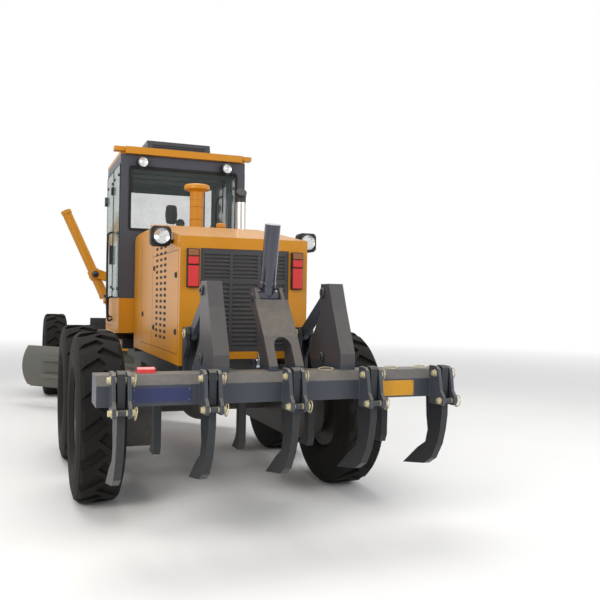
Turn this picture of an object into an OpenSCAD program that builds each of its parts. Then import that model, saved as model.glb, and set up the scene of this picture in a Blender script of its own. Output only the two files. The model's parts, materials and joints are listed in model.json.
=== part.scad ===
// Motor grader, parked, with a raised rear ripper. Millimetres, +X forward, +Y left, +Z up.
// Every module is drawn with X measured from the tandem pivot and Y from the centre plane.
// in_frame() then moves it to the origin, on the ground under the middle of the machine.

/* [Wheels] */
// Distance between the two wheels under each tandem case
tandem_spacing = 1538; // [1500:1:1560]
// Distance from the tandem pivot to the front axle
wheelbase = 5780; // [5740:10:5820]
// Distance between the wheel centres across the machine
wheel_track = 2020; // [2010:5:2040]
// Tyre diameter, to the tips of the lugs
tyre_d = 1280; // [1250:5:1300]
// Tyre width
tyre_w = 345; // [335:5:350]
// Diameter of the rim's bead seat
rim_d = 610; // [600:2:620]

/* [Rear frame and hood] */
// Height of the frame rails' bottom
rail_z = 900; // [895:5:920]
// Height of a frame rail
rail_h = 160; // [150:5:170]
// Width of the hood
hood_w = 980; // [940:10:1020]
// Thickness of the hood's panels
hood_wall = 30; // [20:5:40]
// Rear face of the hood
hood_rear_x = -1360; // [-1380:5:-1340]

/* [Cab] */
// Width of the cab
cab_w = 1280; // [1240:10:1320]
// Width of the cab's front window face
cab_front_w = 1040; // [1000:10:1080]
// Height of the cab's floor underside
cab_z = 1200; // [1190:5:1220]
// Height of the top of the cab's walls
cab_top_z = 2980; // [2940:10:3000]
// Thickness of the cab's walls
cab_wall = 45; // [35:5:55]

/* [Blade] */
// Length of the moldboard
blade_l = 3660; // [3500:10:3660]
// Radius of the moldboard's curve
blade_r = 413; // [400:1:430]
// Thickness of the moldboard
blade_t = 22; // [19:1:25]
// Angle of the blade to a line across the machine, left end forward
blade_angle = 50; // [40:1:55]
// Outer radius of the circle
circle_r = 620; // [600:5:620]

/* [Ripper] */
// Half the length of the ripper's beam
ripper_half = 1160; // [1100:10:1180]
// Rear face of the ripper's beam
ripper_x = -2360; // [-2380:5:-2340]
// Height of the beam's bottom
ripper_z = 925; // [915:5:935]

/* [Hidden] */
$fn = 48;

// Origin of the frame, seen from the tandem pivot and the centre plane
origin_x = 2090;
origin_y = 158;

// Clearance of a running fit on the diameter, and a cut's overshoot
fit = 0.1;
seat_gap = 0.3;
over = 1;

// Wheels
wheel_z = tyre_d / 2;
wheel_y = wheel_track / 2;
rear_x = tandem_spacing / 2;
rim_r = rim_d / 2;
hub_clear = 6;
spindle_d = 90;
stub_d = 140;
rim_recess = 45;
lugs = 18;
lug_h = 26;
lug_slant = 38;
groove_w = 78;
flange_t = 16;
flange_h = 23;
case_y = [590, 800];
case_r = 250;

// Rear frame
rail_y = [280, 380];
rail_x = [-1400, 2040];
rail_top = rail_z + rail_h;
hinge_x = 2330;
hinge_pin_d = 88;
hinge_r = 90;
lug_z = [945, 1105];
steer_ram_y = 470;
steer_ram_z = 1050;
steer_barrel_x = [1560, 2030];
steer_rod_x = 1805;

// Hood
hood_z = rail_top;
hood_front_x = 830;
hood_bar_z = 1105;
grille_half = 340;
grille_z = [1160, 1915];
ridge_x = -200;
hood_top = [2000, 2185, 2200];
intake = [280, 0];
intake_d = 130;
exhaust = [150, -395];
exhaust_d = 100;

// Cab
roof_top_z = 3050;
cab_x = [850, 2250];
cab_bend_x = 1950;
door_x = [1370, 1950];
door_z = [1250, 2900];
door_gap = 4;
door_hinge = [1955, cab_w / 2 + 18];
glass_t = 8;

// Front frame
frame_half = 140;
saddle_x = 3350;
trunnion = [640, 1850];
lift_ball = [300, 1110];
ball = [wheelbase - 430, 1030];
nose_x = wheelbase + 700;
tow_x = nose_x + 140;

// Front axle
lean_y = 700;
lean_z = 560;
lean_top_z = 860;
king_y = 780;
king_r = 42;
arm_l = 200;
arm_x = wheelbase - arm_l;
arm_z = [455, 485];
tie_rod_z = 418;
swivel_pin_d = 20;

// Circle and blade
circle_x = 3450;
circle_z = [930, 1000];
slide_x = -484;
blade_back = -400;
blade_span_z = [290, 850];
edge_top = [-362.4, 400];
edge_tilt = 33.4;
edge_h = 160;
edge_t = 18;

// Ripper linkage, points in the side view
link_a_low = [-1500, 860];
link_a_up = [-1500, 1300];
link_b_low = [-1970, 1160];
link_b_up = [-1970, 1600];
link_tube = [-1735, 1010];
ripper_trunnion = [-1860, 1560];
ripper_eye = [-1756, 1103];
link_y = [400, 440];
tower_y = [[370, 390], [450, 470]];
link_pin_d = 50;
shank_ys = [-1035, -518, 0, 518, 1035];
scarifier_ys = [-772, -235, 235, 772];
shank_t = 44;
cheek_y = 33;
holder_pins = [[-2425, 1083], [-2490, 910]];
holder_pin_d = 34;

module in_frame() translate([-origin_x, -origin_y, 0]) children();

module on_side(side) {
    if (side > 0) children();
    else mirror([0, 1, 0]) children();
}

module both_sides() {
    children();
    mirror([0, 1, 0]) children();
}

module block(x, y, z)
    translate([x[0], y[0], z[0]]) cube([x[1] - x[0], y[1] - y[0], z[1] - z[0]]);

module bar_x(x, y, z, d)
    translate([x[0], y, z]) rotate([0, 90, 0]) cylinder(h = x[1] - x[0], d = d);

module bar_y(x, y, z, d)
    translate([x, y[1], z]) rotate([90, 0, 0]) cylinder(h = y[1] - y[0], d = d);

module bar_z(x, y, z, d)
    translate([x, y, z[0]]) cylinder(h = z[1] - z[0], d = d);

// Plates extruded from an outline in the side view, the cross section and the plan
module side_plate(outline, y)
    translate([0, y[1], 0]) rotate([90, 0, 0]) linear_extrude(y[1] - y[0]) polygon(outline);

module cross_plate(outline, x)
    translate([x[0], 0, 0]) rotate([90, 0, 90]) linear_extrude(x[1] - x[0]) polygon(outline);

module flat_plate(outline, z)
    translate([0, 0, z[0]]) linear_extrude(z[1] - z[0]) polygon(outline);

// A round bar between two points
module strut(from, to, d) {
    along = to - from;
    length = norm(along);
    translate(from) rotate([0, acos(along.z / length), atan2(along.y, along.x)])
        cylinder(h = length, d = d);
}

// A flat bar between two pins in the side view, with round eyes
module link(from, to, y, eye_d, bore_d) {
    along = to - from;
    difference() {
        union() {
            for (pin = [from, to]) bar_y(pin.x, y, pin.y, eye_d);
            translate([from.x, 0, from.y]) rotate([0, -atan2(along.y, along.x), 0])
                block([0, norm(along)], y, [-eye_d * 0.4, eye_d * 0.4]);
        }
        for (pin = [from, to]) bar_y(pin.x, [y[0] - over, y[1] + over], pin.y, bore_d);
    }
}

// Wheels, drawn about their own axis with the outer side up, then stood in place
module at_wheel(x, side)
    on_side(side) translate([x, wheel_y, wheel_z]) rotate([-90, 0, 0]) children();

module tyre(x, side) {
    r = tyre_d / 2;
    half = tyre_w / 2;
    seat = half - rim_recess - flange_t - 0.5;
    bead = rim_r + flange_h + 0.5;
    outline = [
        [rim_r, seat], [bead, seat], [bead + 12, half - 36], [rim_r + 75, half - 8],
        [rim_r + 145, half], [r - 80, half - 4], [r - 25, half - 20], [r, half - 48]
    ];
    lower = [for (i = [len(outline) - 1:-1:0]) [outline[i].x, -outline[i].y]];
    color("#2b2723") at_wheel(x, side) difference() {
        rotate_extrude($fn = 96) polygon(concat(outline, lower));
        // Slanted grooves leave the lugs, from each shoulder to past the middle
        for (i = [0:lugs - 1], way = [-1, 1])
            rotate([0, 0, (i + way / 4) * 360 / lugs]) translate([r - lug_h, 0, 0])
                rotate([way > 0 ? lug_slant : 180 - lug_slant, 0, 0])
                    translate([0, -groove_w / 2, -8]) cube([lug_h + 20, groove_w, half * 1.5]);
    }
}

// Rim with the places across its width of the disc, the hub and the hub's bore
module rim(x, side, disc, hub, hub_d, bore, bore_d) {
    half = tyre_w / 2 - rim_recess;
    barrel_t = 15;
    disc_t = 25;
    color("#1b1b1d") at_wheel(x, side) difference() {
        union() {
            difference() {
                union() {
                    translate([0, 0, -half]) cylinder(h = 2 * half, r = rim_r, $fn = 96);
                    for (w = [-half, half - flange_t])
                        translate([0, 0, w])
                            cylinder(h = flange_t, r = rim_r + flange_h, $fn = 96);
                }
                translate([0, 0, -half - over])
                    cylinder(h = 2 * half + 2 * over, r = rim_r - barrel_t, $fn = 96);
            }
            translate([0, 0, disc]) cylinder(h = disc_t, r = rim_r - barrel_t / 2, $fn = 96);
            translate([0, 0, hub[0]]) cylinder(h = hub[1] - hub[0], d = hub_d);
        }
        translate([0, 0, hub[0] - over]) cylinder(h = bore - hub[0] + over, d = bore_d + fit);
    }
}

module rear_rim(x, side)
    rim(x, side, disc = -124, hub = [case_y[1] + hub_clear - wheel_y, -40], hub_d = 260,
        bore = -100, bore_d = stub_d);

module front_rim(side)
    rim(wheelbase, side, disc = -55, hub = [-140, 30], hub_d = 220, bore = -5,
        bore_d = spindle_d);

module rear_frame() {
    ear_z = [[rail_z, rail_z + 40], [1110, 1150]];
    color("#34383e") {
        both_sides() {
            block(rail_x, rail_y, [rail_z, rail_top]);
            for (x = [-1335, 760]) block([x, x + 45], [rail_y[0], hood_w / 2], [hood_z - 40, hood_z]);
            for (x = [900, 1800]) block([x, x + 100], rail_y, [rail_top, cab_z]);
            block([1480, steer_barrel_x[0]], [rail_y[1], steer_ram_y + 45],
                  [steer_ram_z - 50, steer_ram_z + 50]);
        }
        block([-1400, -1320], [-hood_w / 2, hood_w / 2], [rail_z, hood_z - 40]);
        block([1960, 2040], [-rail_y[1], rail_y[1]], [rail_z, rail_top]);
        block([1980, 2060], [-150, 150], [rail_top, ear_z[1][1]]);
        for (z = ear_z) {
            block([2020, hinge_x], [-hinge_r, hinge_r], z);
            bar_z(hinge_x, 0, z, 2 * hinge_r);
        }
        bar_z(hinge_x, 0, [rail_z - 10, ear_z[1][1] + 10], hinge_pin_d);
    }
}

module engine_block() color("#5a5a5a") {
    block([-500, 600], [-rail_y[1], rail_y[1]], [rail_top, 1750]);
}

// Cross section with rounded upper corners, from the bottom up to a height
module hood_section(half, bottom, top, r) {
    translate([-half, bottom]) square([2 * half, top - r - bottom]);
    translate([-half + r, bottom]) square([2 * (half - r), top - bottom]);
    for (y = [-half + r, half - r]) translate([y, top - r]) circle(r);
}

// The hood's solid, drawn in from its outer faces by a wall's thickness
module hood_form(inset) {
    x = [hood_rear_x + inset, hood_front_x - inset];
    corner = 90;
    side_y = [-hood_w / 2, hood_w / 2];
    low = hood_z - (inset > 0 ? over : 0);
    rise = (hood_top[1] - hood_top[0]) / (ridge_x - hood_rear_x);
    intersection() {
        side_plate([
            [x[0], low], [x[1], low], [x[1], hood_top[2] - inset], [ridge_x, hood_top[1] - inset],
            [x[0], hood_top[0] + rise * inset - inset]
        ], side_y);
        translate([x[0], 0, 0]) rotate([90, 0, 90]) linear_extrude(x[1] - x[0])
            hood_section(hood_w / 2 - inset, low, hood_top[2] - inset, corner - inset);
    }
}

module hood() color("#d9a01e") difference() {
    hood_form(0);
    hood_form(hood_wall);
    wall_x = [hood_rear_x - over, hood_rear_x + hood_wall + over];
    block(wall_x, [-grille_half, grille_half], grille_z);
    cross_plate([
        [-400, hood_z - over], [400, hood_z - over], [400, 1080], [375, hood_bar_z],
        [-375, hood_bar_z], [-400, 1080]
    ], wall_x);
    bar_z(intake.x, intake.y, [hood_top[0], hood_top[2] + over], intake_d + 0.6);
    bar_z(exhaust.x, exhaust.y, [hood_top[0], hood_top[2] + over], exhaust_d + 0.6);
}

// Panel with three louvred bays at its top and a row of holed screens below
module rear_grille() color("#262a2e") {
    face_x = hood_rear_x + 5;
    bay_w = 190;
    bay_z = [1700, 1875];
    screen_z = [1200, 1660];
    difference() {
        block([face_x, hood_rear_x + hood_wall], [-grille_half, grille_half], grille_z);
        for (y = [-215, 0, 215], z = [bay_z, screen_z])
            block([face_x - over, face_x + 12], [y - bay_w / 2, y + bay_w / 2], z);
    }
    for (y = [-215, 0, 215]) {
        for (i = [0:5]) louvre(face_x, [y - bay_w / 2 - over, y + bay_w / 2 + over], bay_z[0] + 8 + 28 * i);
        for (i = [0:13]) louvre(face_x, [y - bay_w / 2 - over, y + bay_w / 2 + over],
                                screen_z[0] + 8 + 32 * i);
    }
}

// A slat that leans out of its bay
module louvre(x, y, z)
    side_plate([[x + 13, z + 8], [x + 13, z + 20], [x + 1, z + 8], [x + 1, z]], y);

module lamps() {
    color("#8c1c16") both_sides()
        block([hood_rear_x - 30, hood_rear_x], [355, 445], [1790, 1908]);
    color("#1d1d1f") both_sides() {
        lamp_box([-1120, -1040], hood_w / 2 + 95, 2010, 150, 34);
        block([-1090, -1060], [hood_w / 2, hood_w / 2 + 40], [1960, 1990]);
        bar_x([790, 850], 430, 2900, 120);
        bar_x([2250, 2310], 430, 2910, 120);
    }
}

// Lamp housing with rounded corners, facing along the machine
module lamp_box(x, y, z, size, r) {
    flat = size / 2 - r;
    block(x, [y - size / 2, y + size / 2], [z - flat, z + flat]);
    block(x, [y - flat, y + flat], [z - size / 2, z + size / 2]);
    for (corner_y = [y - flat, y + flat], corner_z = [z - flat, z + flat])
        bar_x(x, corner_y, corner_z, 2 * r);
}

module air_precleaner() color("#d9a01e") {
    bar_z(intake.x, intake.y, [2100, 2560], intake_d);
    translate([intake.x, intake.y, 2525]) cylinder(h = 31, d1 = 150, d2 = 232);
    bar_z(intake.x, intake.y, [2555, 2625], 244);
    translate([intake.x, intake.y, 2625]) cylinder(h = 18, d1 = 244, d2 = 190);
}

module exhaust_stack() color("#8d9094") {
    bend_r = 90;
    bend_z = 2500;
    bar_z(exhaust.x, exhaust.y, [2080, bend_z], exhaust_d);
    translate([exhaust.x - bend_r, exhaust.y, bend_z]) rotate([90, 0, 0])
        rotate_extrude(angle = 50) translate([bend_r, 0]) circle(d = exhaust_d);
}

module rear_axle() color("#34383e") {
    translate([0, 0, wheel_z]) rotate([90, 0, 0]) sphere(190);
    bar_y(0, [-case_y[0], case_y[0]], wheel_z, 220);
    both_sides() block([-130, 130], [rail_y[0] - 10, rail_y[1] + 10], [wheel_z, rail_z]);
}

module tandem_cases() color("#34383e") both_sides() {
    for (x = [-rear_x, rear_x]) {
        bar_y(x, case_y, wheel_z, 2 * case_r);
        bar_y(x, [case_y[1] - over, 905], wheel_z, stub_d);
    }
    block([-rear_x, rear_x], case_y, [wheel_z - case_r, wheel_z + case_r]);
}

function taper_y(x) = cab_w / 2 - (x - cab_bend_x) * (cab_w - cab_front_w) / 2 / (cab_x[1] - cab_bend_x);

module cab_form(inset, z) {
    half = cab_w / 2 - inset;
    front = cab_front_w / 2 - inset * 0.7;
    bend = cab_bend_x - inset * 0.2;
    x = [cab_x[0] + inset, cab_x[1] - inset];
    flat_plate([
        [x[0], -half], [bend, -half], [x[1], -front],
        [x[1], front], [bend, half], [x[0], half]
    ], z);
}

cab_window_z = [1560, 2860];
quarter_x = [905, 1325];
taper_x = [2000, 2195];
front_window = [460, 1300];
rear_window = [550, 2230];

module cab_shell() color("#33363a") {
    difference() {
        cab_form(0, [cab_z, cab_top_z]);
        cab_form(cab_wall, [cab_z + cab_wall, cab_top_z - cab_wall]);
        block([cab_x[0] - over, cab_x[0] + cab_wall + over], [-rear_window.x, rear_window.x],
              [rear_window.y, cab_window_z[1]]);
        block([cab_x[1] - cab_wall - over, cab_x[1] + over], [-front_window.x, front_window.x],
              [front_window.y, cab_window_z[1]]);
        block(quarter_x, [-cab_w, cab_w], cab_window_z);
        block(taper_x, [-cab_w, cab_w], [front_window.y, cab_window_z[1]]);
        block([door_x[0] - door_gap, door_x[1] + door_gap], [-cab_w, cab_w],
              [door_z[0] - door_gap, door_z[1] + door_gap]);
    }
    both_sides() for (z = [1500, 2600]) {
        block([door_hinge.x + 16, door_hinge.x + 40], [cab_w / 2 - 40, door_hinge.y + 10],
              [z - 20, z + 80]);
        for (lug = [z - 20, z + 64])
            block([door_hinge.x - 12, door_hinge.x + 40], [door_hinge.y - 12, door_hinge.y + 10],
                  [lug, lug + 16]);
        bar_z(door_hinge.x, door_hinge.y, [z - 10, z + 70], 12);
    }
}

module door_panel(side) color("#33363a") on_side(side) difference() {
    union() {
        block(door_x, [cab_w / 2 - cab_wall, cab_w / 2], door_z);
        for (z = [1500, 2600]) {
            block([1880, door_hinge.x], [cab_w / 2 - over, door_hinge.y + 8], [z + 1, z + 59]);
            bar_z(door_hinge.x, door_hinge.y, [z + 1, z + 59], 26);
        }
        block([1400, 1430], [cab_w / 2 - over, cab_w / 2 + 35], [1900, 2100]);
    }
    block([1430, 1890], [0, cab_w], [1580, 2840]);
    for (z = [1500, 2600]) bar_z(door_hinge.x, door_hinge.y, [z, z + 60], 12 + fit);
}

module door_pane(side) color("#9fb3b8") on_side(side)
    block([1430, 1890], [cab_w / 2 - 25, cab_w / 2 - 25 + glass_t], [1580, 2840]);

module cab_glass() color("#9fb3b8") {
    block([cab_x[0] + 15, cab_x[0] + 15 + glass_t], [-rear_window.x, rear_window.x],
          [rear_window.y, cab_window_z[1]]);
    block([cab_x[1] - 25, cab_x[1] - 25 + glass_t], [-front_window.x, front_window.x],
          [front_window.y, cab_window_z[1]]);
    both_sides() {
        block(quarter_x, [cab_w / 2 - 25, cab_w / 2 - 25 + glass_t], cab_window_z);
        flat_plate([
            [taper_x[0], taper_y(taper_x[0]) - 28], [taper_x[1], taper_y(taper_x[1]) - 28],
            [taper_x[1], taper_y(taper_x[1]) - 20], [taper_x[0], taper_y(taper_x[0]) - 20]
        ], [front_window.y, cab_window_z[1]]);
    }
}

module cab_roof() color("#d9a01e") {
    half = cab_w / 2;
    edge_z = roof_top_z - 35;
    intersection() {
        flat_plate([
            [870, -half], [1960, -half], [2320, -half + 110], [2320, half - 110], [1960, half],
            [870, half]
        ], [cab_top_z, roof_top_z]);
        cross_plate([
            [-half, cab_top_z], [half, cab_top_z], [half, edge_z], [half - 40, roof_top_z],
            [40 - half, roof_top_z], [-half, edge_z]
        ], [860, 2330]);
    }
    // Visor over the rear window, with its ears
    block([800, 871], [-600, 600], [cab_top_z, roof_top_z]);
    for (y = [[-705, -599], [599, 705]]) block([830, 930], y, [roof_top_z - 42, roof_top_z]);
    // Cooler
    side_plate([
        [1120, roof_top_z], [1800, roof_top_z], [1700, roof_top_z + 150], [1160, roof_top_z + 150]
    ], [-335, 335]);
}

module driver_seat() color("#2a2a2c") {
    block([1150, 1500], [-200, 200], [cab_z + cab_wall, 1560]);
    block([1080, 1580], [-240, 240], [1560, 1690]);
    block([1020, 1140], [-230, 230], [1690, 2300]);
}

module steering_console() color("#2a2a2c") {
    block([1960, 2120], [-90, 90], [cab_z + cab_wall, 1750]);
    strut([2010, 0, 1740], [1900, 0, 1900], 60);
    translate([1900, 0, 1900]) rotate([0, -35, 0]) cylinder(h = 30, d = 380);
}

module ladder(low_z, steps) {
    stringer_x = [[1440, 1460], [1700, 1720]];
    for (x = stringer_x) block(x, [870, 990], [low_z, 1190]);
    for (z = steps) block([1440, 1720], [870, 990], [z, z + 25]);
}

module access_steps() color("#3a3d40") {
    both_sides() {
        block([1440, 1940], [cab_w / 2, 870], [1150, 1190]);
        for (x = [1600, 1860]) {
            block([x, x + 50], [rail_y[1], 700], [1100, 1150]);
            block([x, x + 50], [rail_y[1], rail_y[1] + 30], [1000, 1150]);
        }
    }
    ladder(430, [430, 670, 910]);
    mirror([0, 1, 0]) ladder(910, [910]);
}

module ripper_bracket() color("#d9a01e") {
    back_x = [-1430, -1400];
    eye_y = [490, 525];
    plate = [[-1430, 820], [-1400, 820], [-1400, 1345], [-1520, 1345], [-1550, 1300],
             [-1530, 1200], [-1440, 1120], [-1440, 1000], [-1550, 880], [-1550, 850], [-1520, 820]];
    block(back_x, [-eye_y[1], eye_y[1]], [rail_z, hood_z - 40]);
    both_sides() {
        // Eye to tie the machine down by
        difference() {
            block([-1515, -1400], eye_y, [rail_z, rail_z + 100]);
            bar_y(-1470, [eye_y[0] - 10, eye_y[1] + 10], rail_z + 50, 60);
        }
        for (y = [[365, 390], [450, 475]]) side_plate(plate, y);
        block(back_x, [365, 475], [820, 1345]);
        for (pin = [link_a_low, link_a_up]) bar_y(pin.x, [360, 480], pin.y, link_pin_d);
    }
}

module articulation_barrels() color("#d9a01e") both_sides() difference() {
    bar_x(steer_barrel_x, steer_ram_y, steer_ram_z, 90);
    bar_x([steer_barrel_x[0] + 25, steer_barrel_x[1] + over], steer_ram_y, steer_ram_z, 50 + fit);
}

module articulation_rod(side) color("#b9bcc0") on_side(side) difference() {
    union() {
        bar_x([steer_rod_x, hinge_x], steer_ram_y, steer_ram_z, 50);
        bar_z(hinge_x, steer_ram_y, [steer_ram_z - 28, steer_ram_z + 28], 84);
    }
    bar_z(hinge_x, steer_ram_y, [steer_ram_z - 30, steer_ram_z + 30], 40);
}

module front_frame() color("#d9a01e") {
    neck = [
        [2440, 945], [2520, 945], [2880, 1380], [ball.x - 450, 1380], [ball.x - 200, 1290],
        [ball.x + 65, 1150], [ball.x + 65, 980], [nose_x, 980], [nose_x, 1200],
        [ball.x + 250, 1270], [ball.x - 270, 1600], [ball.x - 470, 1680],
        [2960, 1680], [2720, 1600], [2440, 1180]
    ];
    wing = [[2440, 130], [2560, 130], [2380, 520], [2290, 520], [2290, 430]];
    difference() {
        union() {
            side_plate(neck, [-frame_half, frame_half]);
            bar_z(hinge_x, 0, lug_z, 2 * hinge_r);
            block([hinge_x, 2460], [-hinge_r, hinge_r], lug_z);
            both_sides() flat_plate(wing, [steer_ram_z + 36, steer_ram_z + 66]);
        }
        bar_z(hinge_x, 0, [lug_z[0] - over, lug_z[1] + over], hinge_pin_d + fit);
        both_sides() bar_z(hinge_x, steer_ram_y, [steer_ram_z, steer_ram_z + 90], 40);
    }
    // Ball for the drawbar, on its neck
    translate([ball.x, 0, ball.y]) rotate([0, 90, 0]) sphere(60);
    bar_x([ball.x, ball.x + 120], 0, ball.y, 56);
    // Hangers that carry the axle, either side of the lean bar
    for (x = [wheelbase - 130, wheelbase + 90])
        block([x, x + 40], [-frame_half, frame_half], [640, 990]);
}

// Nose plate with its bolt holes, and the towing lugs
module nose_plate() color("#34383e") {
    difference() {
        block([nose_x, nose_x + 80], [-400, 400], [700, 1200]);
        for (y = [-300, 300], z = [800, 1100]) bar_x([nose_x - 10, nose_x + 90], y, z, 26);
    }
    difference() {
        for (z = [800, 890]) {
            block([nose_x + 70, tow_x], [-60, 60], [z, z + 30]);
            bar_z(tow_x, 0, [z, z + 30], 120);
        }
        bar_z(tow_x, 0, [790, 930], 42);
    }
}

module saddle() color("#d9a01e") {
    arm = [
        [-700, 1800], [-580, 1790], [-200, 1690], [200, 1690], [580, 1790], [700, 1800],
        [700, 1900], [580, 1910], [200, 1770], [-200, 1770], [-580, 1910], [-700, 1900]
    ];
    difference() {
        union() {
            for (x = [saddle_x - 115, saddle_x + 85]) cross_plate(arm, [x, x + 30]);
            block([saddle_x - 115, saddle_x + 115], [-200, 200], [1680, 1770]);
            both_sides() block([saddle_x - 115, saddle_x + 115], [frame_half, 200], [1380, 1700]);
        }
        both_sides() bar_x([saddle_x - 130, saddle_x + 130], trunnion.x, trunnion.y, 60 + fit);
    }
}

module front_axle() color("#d9a01e") {
    beam = [
        [-640, 520], [-560, 520], [-300, 640], [300, 640], [560, 520], [640, 520],
        [640, 610], [540, 640], [260, 790], [-260, 790], [-540, 640], [-640, 610]
    ];
    cross_plate(beam, [wheelbase - 58, wheelbase + 58]);
    block([wheelbase - 90, wheelbase + 90], [-100, 100], [650, 780]);
    both_sides() {
        block([wheelbase - 58, wheelbase + 58], [600, lean_y], [lean_z - 44, lean_z + 44]);
        bar_x([wheelbase - 58, wheelbase + 58], lean_y, lean_z, 88);
        bar_x([wheelbase - 105, wheelbase + 105], lean_y, lean_z, 56);
    }
}

module lean_bracket(side) color("#d9a01e") on_side(side) {
    outer = king_y + king_r;
    cheek = [
        [650, 520], [680, 505], [750, 505], [outer, 495], [outer, 525], [735, 560], [735, 715],
        [745, 750], [outer, 750], [outer, 780], [760, 860], [735, 905], [665, 905], [650, 860]
    ];
    cheek_x = [[-100, -66], [66, 100]];
    difference() {
        union() {
            for (x = cheek_x) cross_plate(cheek, [wheelbase + x[0], wheelbase + x[1]]);
            for (z = [[495, 525], [750, 780]]) {
                block([wheelbase - 100, wheelbase + 100], [735, king_y], z);
                bar_z(wheelbase, king_y, z, 2 * king_r);
            }
        }
        bar_x([wheelbase - 110, wheelbase + 110], lean_y, lean_z, 56 + fit);
        bar_z(wheelbase, king_y, [490, 790], 50 + fit);
    }
    bar_x([wheelbase - 105, wheelbase + 105], lean_y, lean_top_z, 40);
}

module knuckle(side) color("#3a3d40") on_side(side) {
    bar_z(wheelbase, king_y, [arm_z[0], 790], 50);
    bar_z(wheelbase, king_y, [lean_z + 56, 744], 86);
    bar_y(wheelbase, [king_y, 1000], wheel_z, spindle_d);
    bar_y(wheelbase, [846, 864], wheel_z, 150);
    difference() {
        union() {
            block([arm_x, wheelbase], [king_y - 22, king_y + 22], arm_z);
            bar_z(arm_x, king_y, arm_z, 44);
            bar_z(wheelbase, king_y, arm_z, 90);
        }
        bar_z(arm_x, king_y, [arm_z[0] - over, arm_z[1] + over], 22 + fit);
    }
}

// Universal joint under the left steering arm: a post, a fork and the tie rod's pin
module tie_swivel() color("#3a3d40") {
    fork_z = tie_rod_z - 22;
    top_z = arm_z[0] - 0.3;
    bar_z(arm_x, king_y, [top_z - over, arm_z[1] + 12], 22);
    block([arm_x - 28, arm_x + 28], [king_y - 20, king_y + 22], [top_z - 8, top_z]);
    for (x = [arm_x - 28, arm_x + 16])
        block([x, x + 12], [king_y - 18, king_y + 20], [fork_z, top_z - 7]);
    bar_x([arm_x - 20, arm_x + 20], king_y, tie_rod_z, swivel_pin_d);
}

// The right end stops short of its arm, which leaves room for the wheels to lean
module tie_rod() color("#3a3d40") difference() {
    union() {
        bar_y(arm_x, [45 - king_y, king_y], tie_rod_z, 30);
        bar_x([arm_x - 15, arm_x + 15], king_y, tie_rod_z, 40);
    }
    bar_x([arm_x - 16, arm_x + 16], king_y, tie_rod_z, swivel_pin_d + fit);
}

module lean_bar() color("#d9a01e") difference() {
    union() {
        bar_y(wheelbase, [-lean_y, lean_y], lean_top_z, 56);
        both_sides() bar_x([wheelbase - 58, wheelbase + 58], lean_y, lean_top_z, 76);
    }
    bar_x([wheelbase - 60, wheelbase + 60], lean_y, lean_top_z, 40 + fit);
    bar_x([wheelbase - 60, wheelbase + 60], -lean_y, lean_top_z, 44);
}

module drawbar() color("#d9a01e") {
    plate_z = [1010, 1090];
    leg = [[ball.x - 50, 30], [ball.x - 50, 130], [3950, 480], [3700, 500], [3700, 350]];
    difference() {
        union() {
            bar_z(circle_x, 0, plate_z, 1120);
            both_sides() flat_plate(leg, [1005, 1095]);
            block([ball.x - 170, ball.x + 25], [-85, 85], [955, 1105]);
            for (turn = [45:90:315]) translate([circle_x, 0, 0]) rotate([0, 0, turn]) {
                block([540, circle_r + 50], [-60, 60], plate_z);
                block([circle_r + 10, circle_r + 50], [-60, 60], [900, 1050]);
                block([circle_r - 30, circle_r + 50], [-60, 60], [900, circle_z[0] - seat_gap]);
            }
            both_sides() {
                bar_z(saddle_x, lift_ball.x, [1080, 1100], 90);
                translate([saddle_x, lift_ball.x, 1105]) sphere(38);
            }
            block([3900, 4060], [-90, 90], [1060, 1190]);
            block([3880, 4300], [-340, 340], [1020, 1060]);
        }
        bar_z(circle_x, 0, [1000, 1110], 400);
        bar_y(ball.x, [-62, 62], ball.y, 122);
    }
}

// The blade's own frame: turned to the blade's angle about the circle's centre
module at_blade() translate([circle_x, 0, 0]) rotate([0, 0, -blade_angle]) children();

module blade_circle() color("#6c6e70") {
    arm = [[-60, 932], [-365, 932], [-370, 895], [-560, 895], [-560, 400], [slide_x, 400],
           [slide_x, 868], [-60, 868]];
    difference() {
        bar_z(circle_x, 0, circle_z, 2 * circle_r);
        bar_z(circle_x, 0, [circle_z[0] - over, circle_z[1] + over], 2 * circle_r - 240);
    }
    at_blade() both_sides() {
        side_plate(arm, [415, 450]);
        block([-560, slide_x], [380, 485], [400, 900]);
    }
}

module moldboard() color("#777a7c") at_blade() {
    middle_z = (blade_span_z[0] + blade_span_z[1]) / 2;
    centre_x = blade_back + blade_r;
    half = blade_l / 2;
    difference() {
        bar_y(centre_x, [-half, half], middle_z, 2 * (blade_r + blade_t));
        bar_y(centre_x, [-half - over, half + over], middle_z, 2 * blade_r);
        block([centre_x - 280, centre_x + 600], [-half - over, half + over], [0, 1200]);
        for (z = [[0, blade_span_z[0]], [blade_span_z[1], 1200]])
            block([-700, 700], [-half - over, half + over], z);
    }
    for (z = [430, 660]) block([slide_x + seat_gap, -405], [-1400, 1400], [z, z + 50]);
}

// The edge lies along the chord of the moldboard's lower front face
module cutting_edge() color("#8a8c8e") at_blade()
    translate([edge_top.x, 0, edge_top.y]) rotate([0, -edge_tilt, 0])
        block([0, edge_t], [-blade_l / 2, blade_l / 2], [-edge_h, 0]);

// The lift cylinders lean outward and up from the drawbar
lift_dir = [0, trunnion.x - lift_ball.x, trunnion.y - lift_ball.y] / norm(trunnion - lift_ball);
lift_at = function (along) [saddle_x, trunnion.x, trunnion.y] + along * lift_dir;

module lift_barrel(side) color("#d9a01e") on_side(side) difference() {
    union() {
        strut(lift_at(-330), lift_at(900), 120);
        strut(lift_at(-60), lift_at(60), 150);
        bar_x([saddle_x - 120, saddle_x + 120], trunnion.x, trunnion.y, 60);
    }
    strut(lift_at(-331), lift_at(870), 70 + fit);
}

module lift_rod(side) color("#b9bcc0") on_side(side) {
    strut(lift_at(-740), lift_at(480), 70);
    strut(lift_at(-765), lift_at(-690), 96);
}

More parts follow.
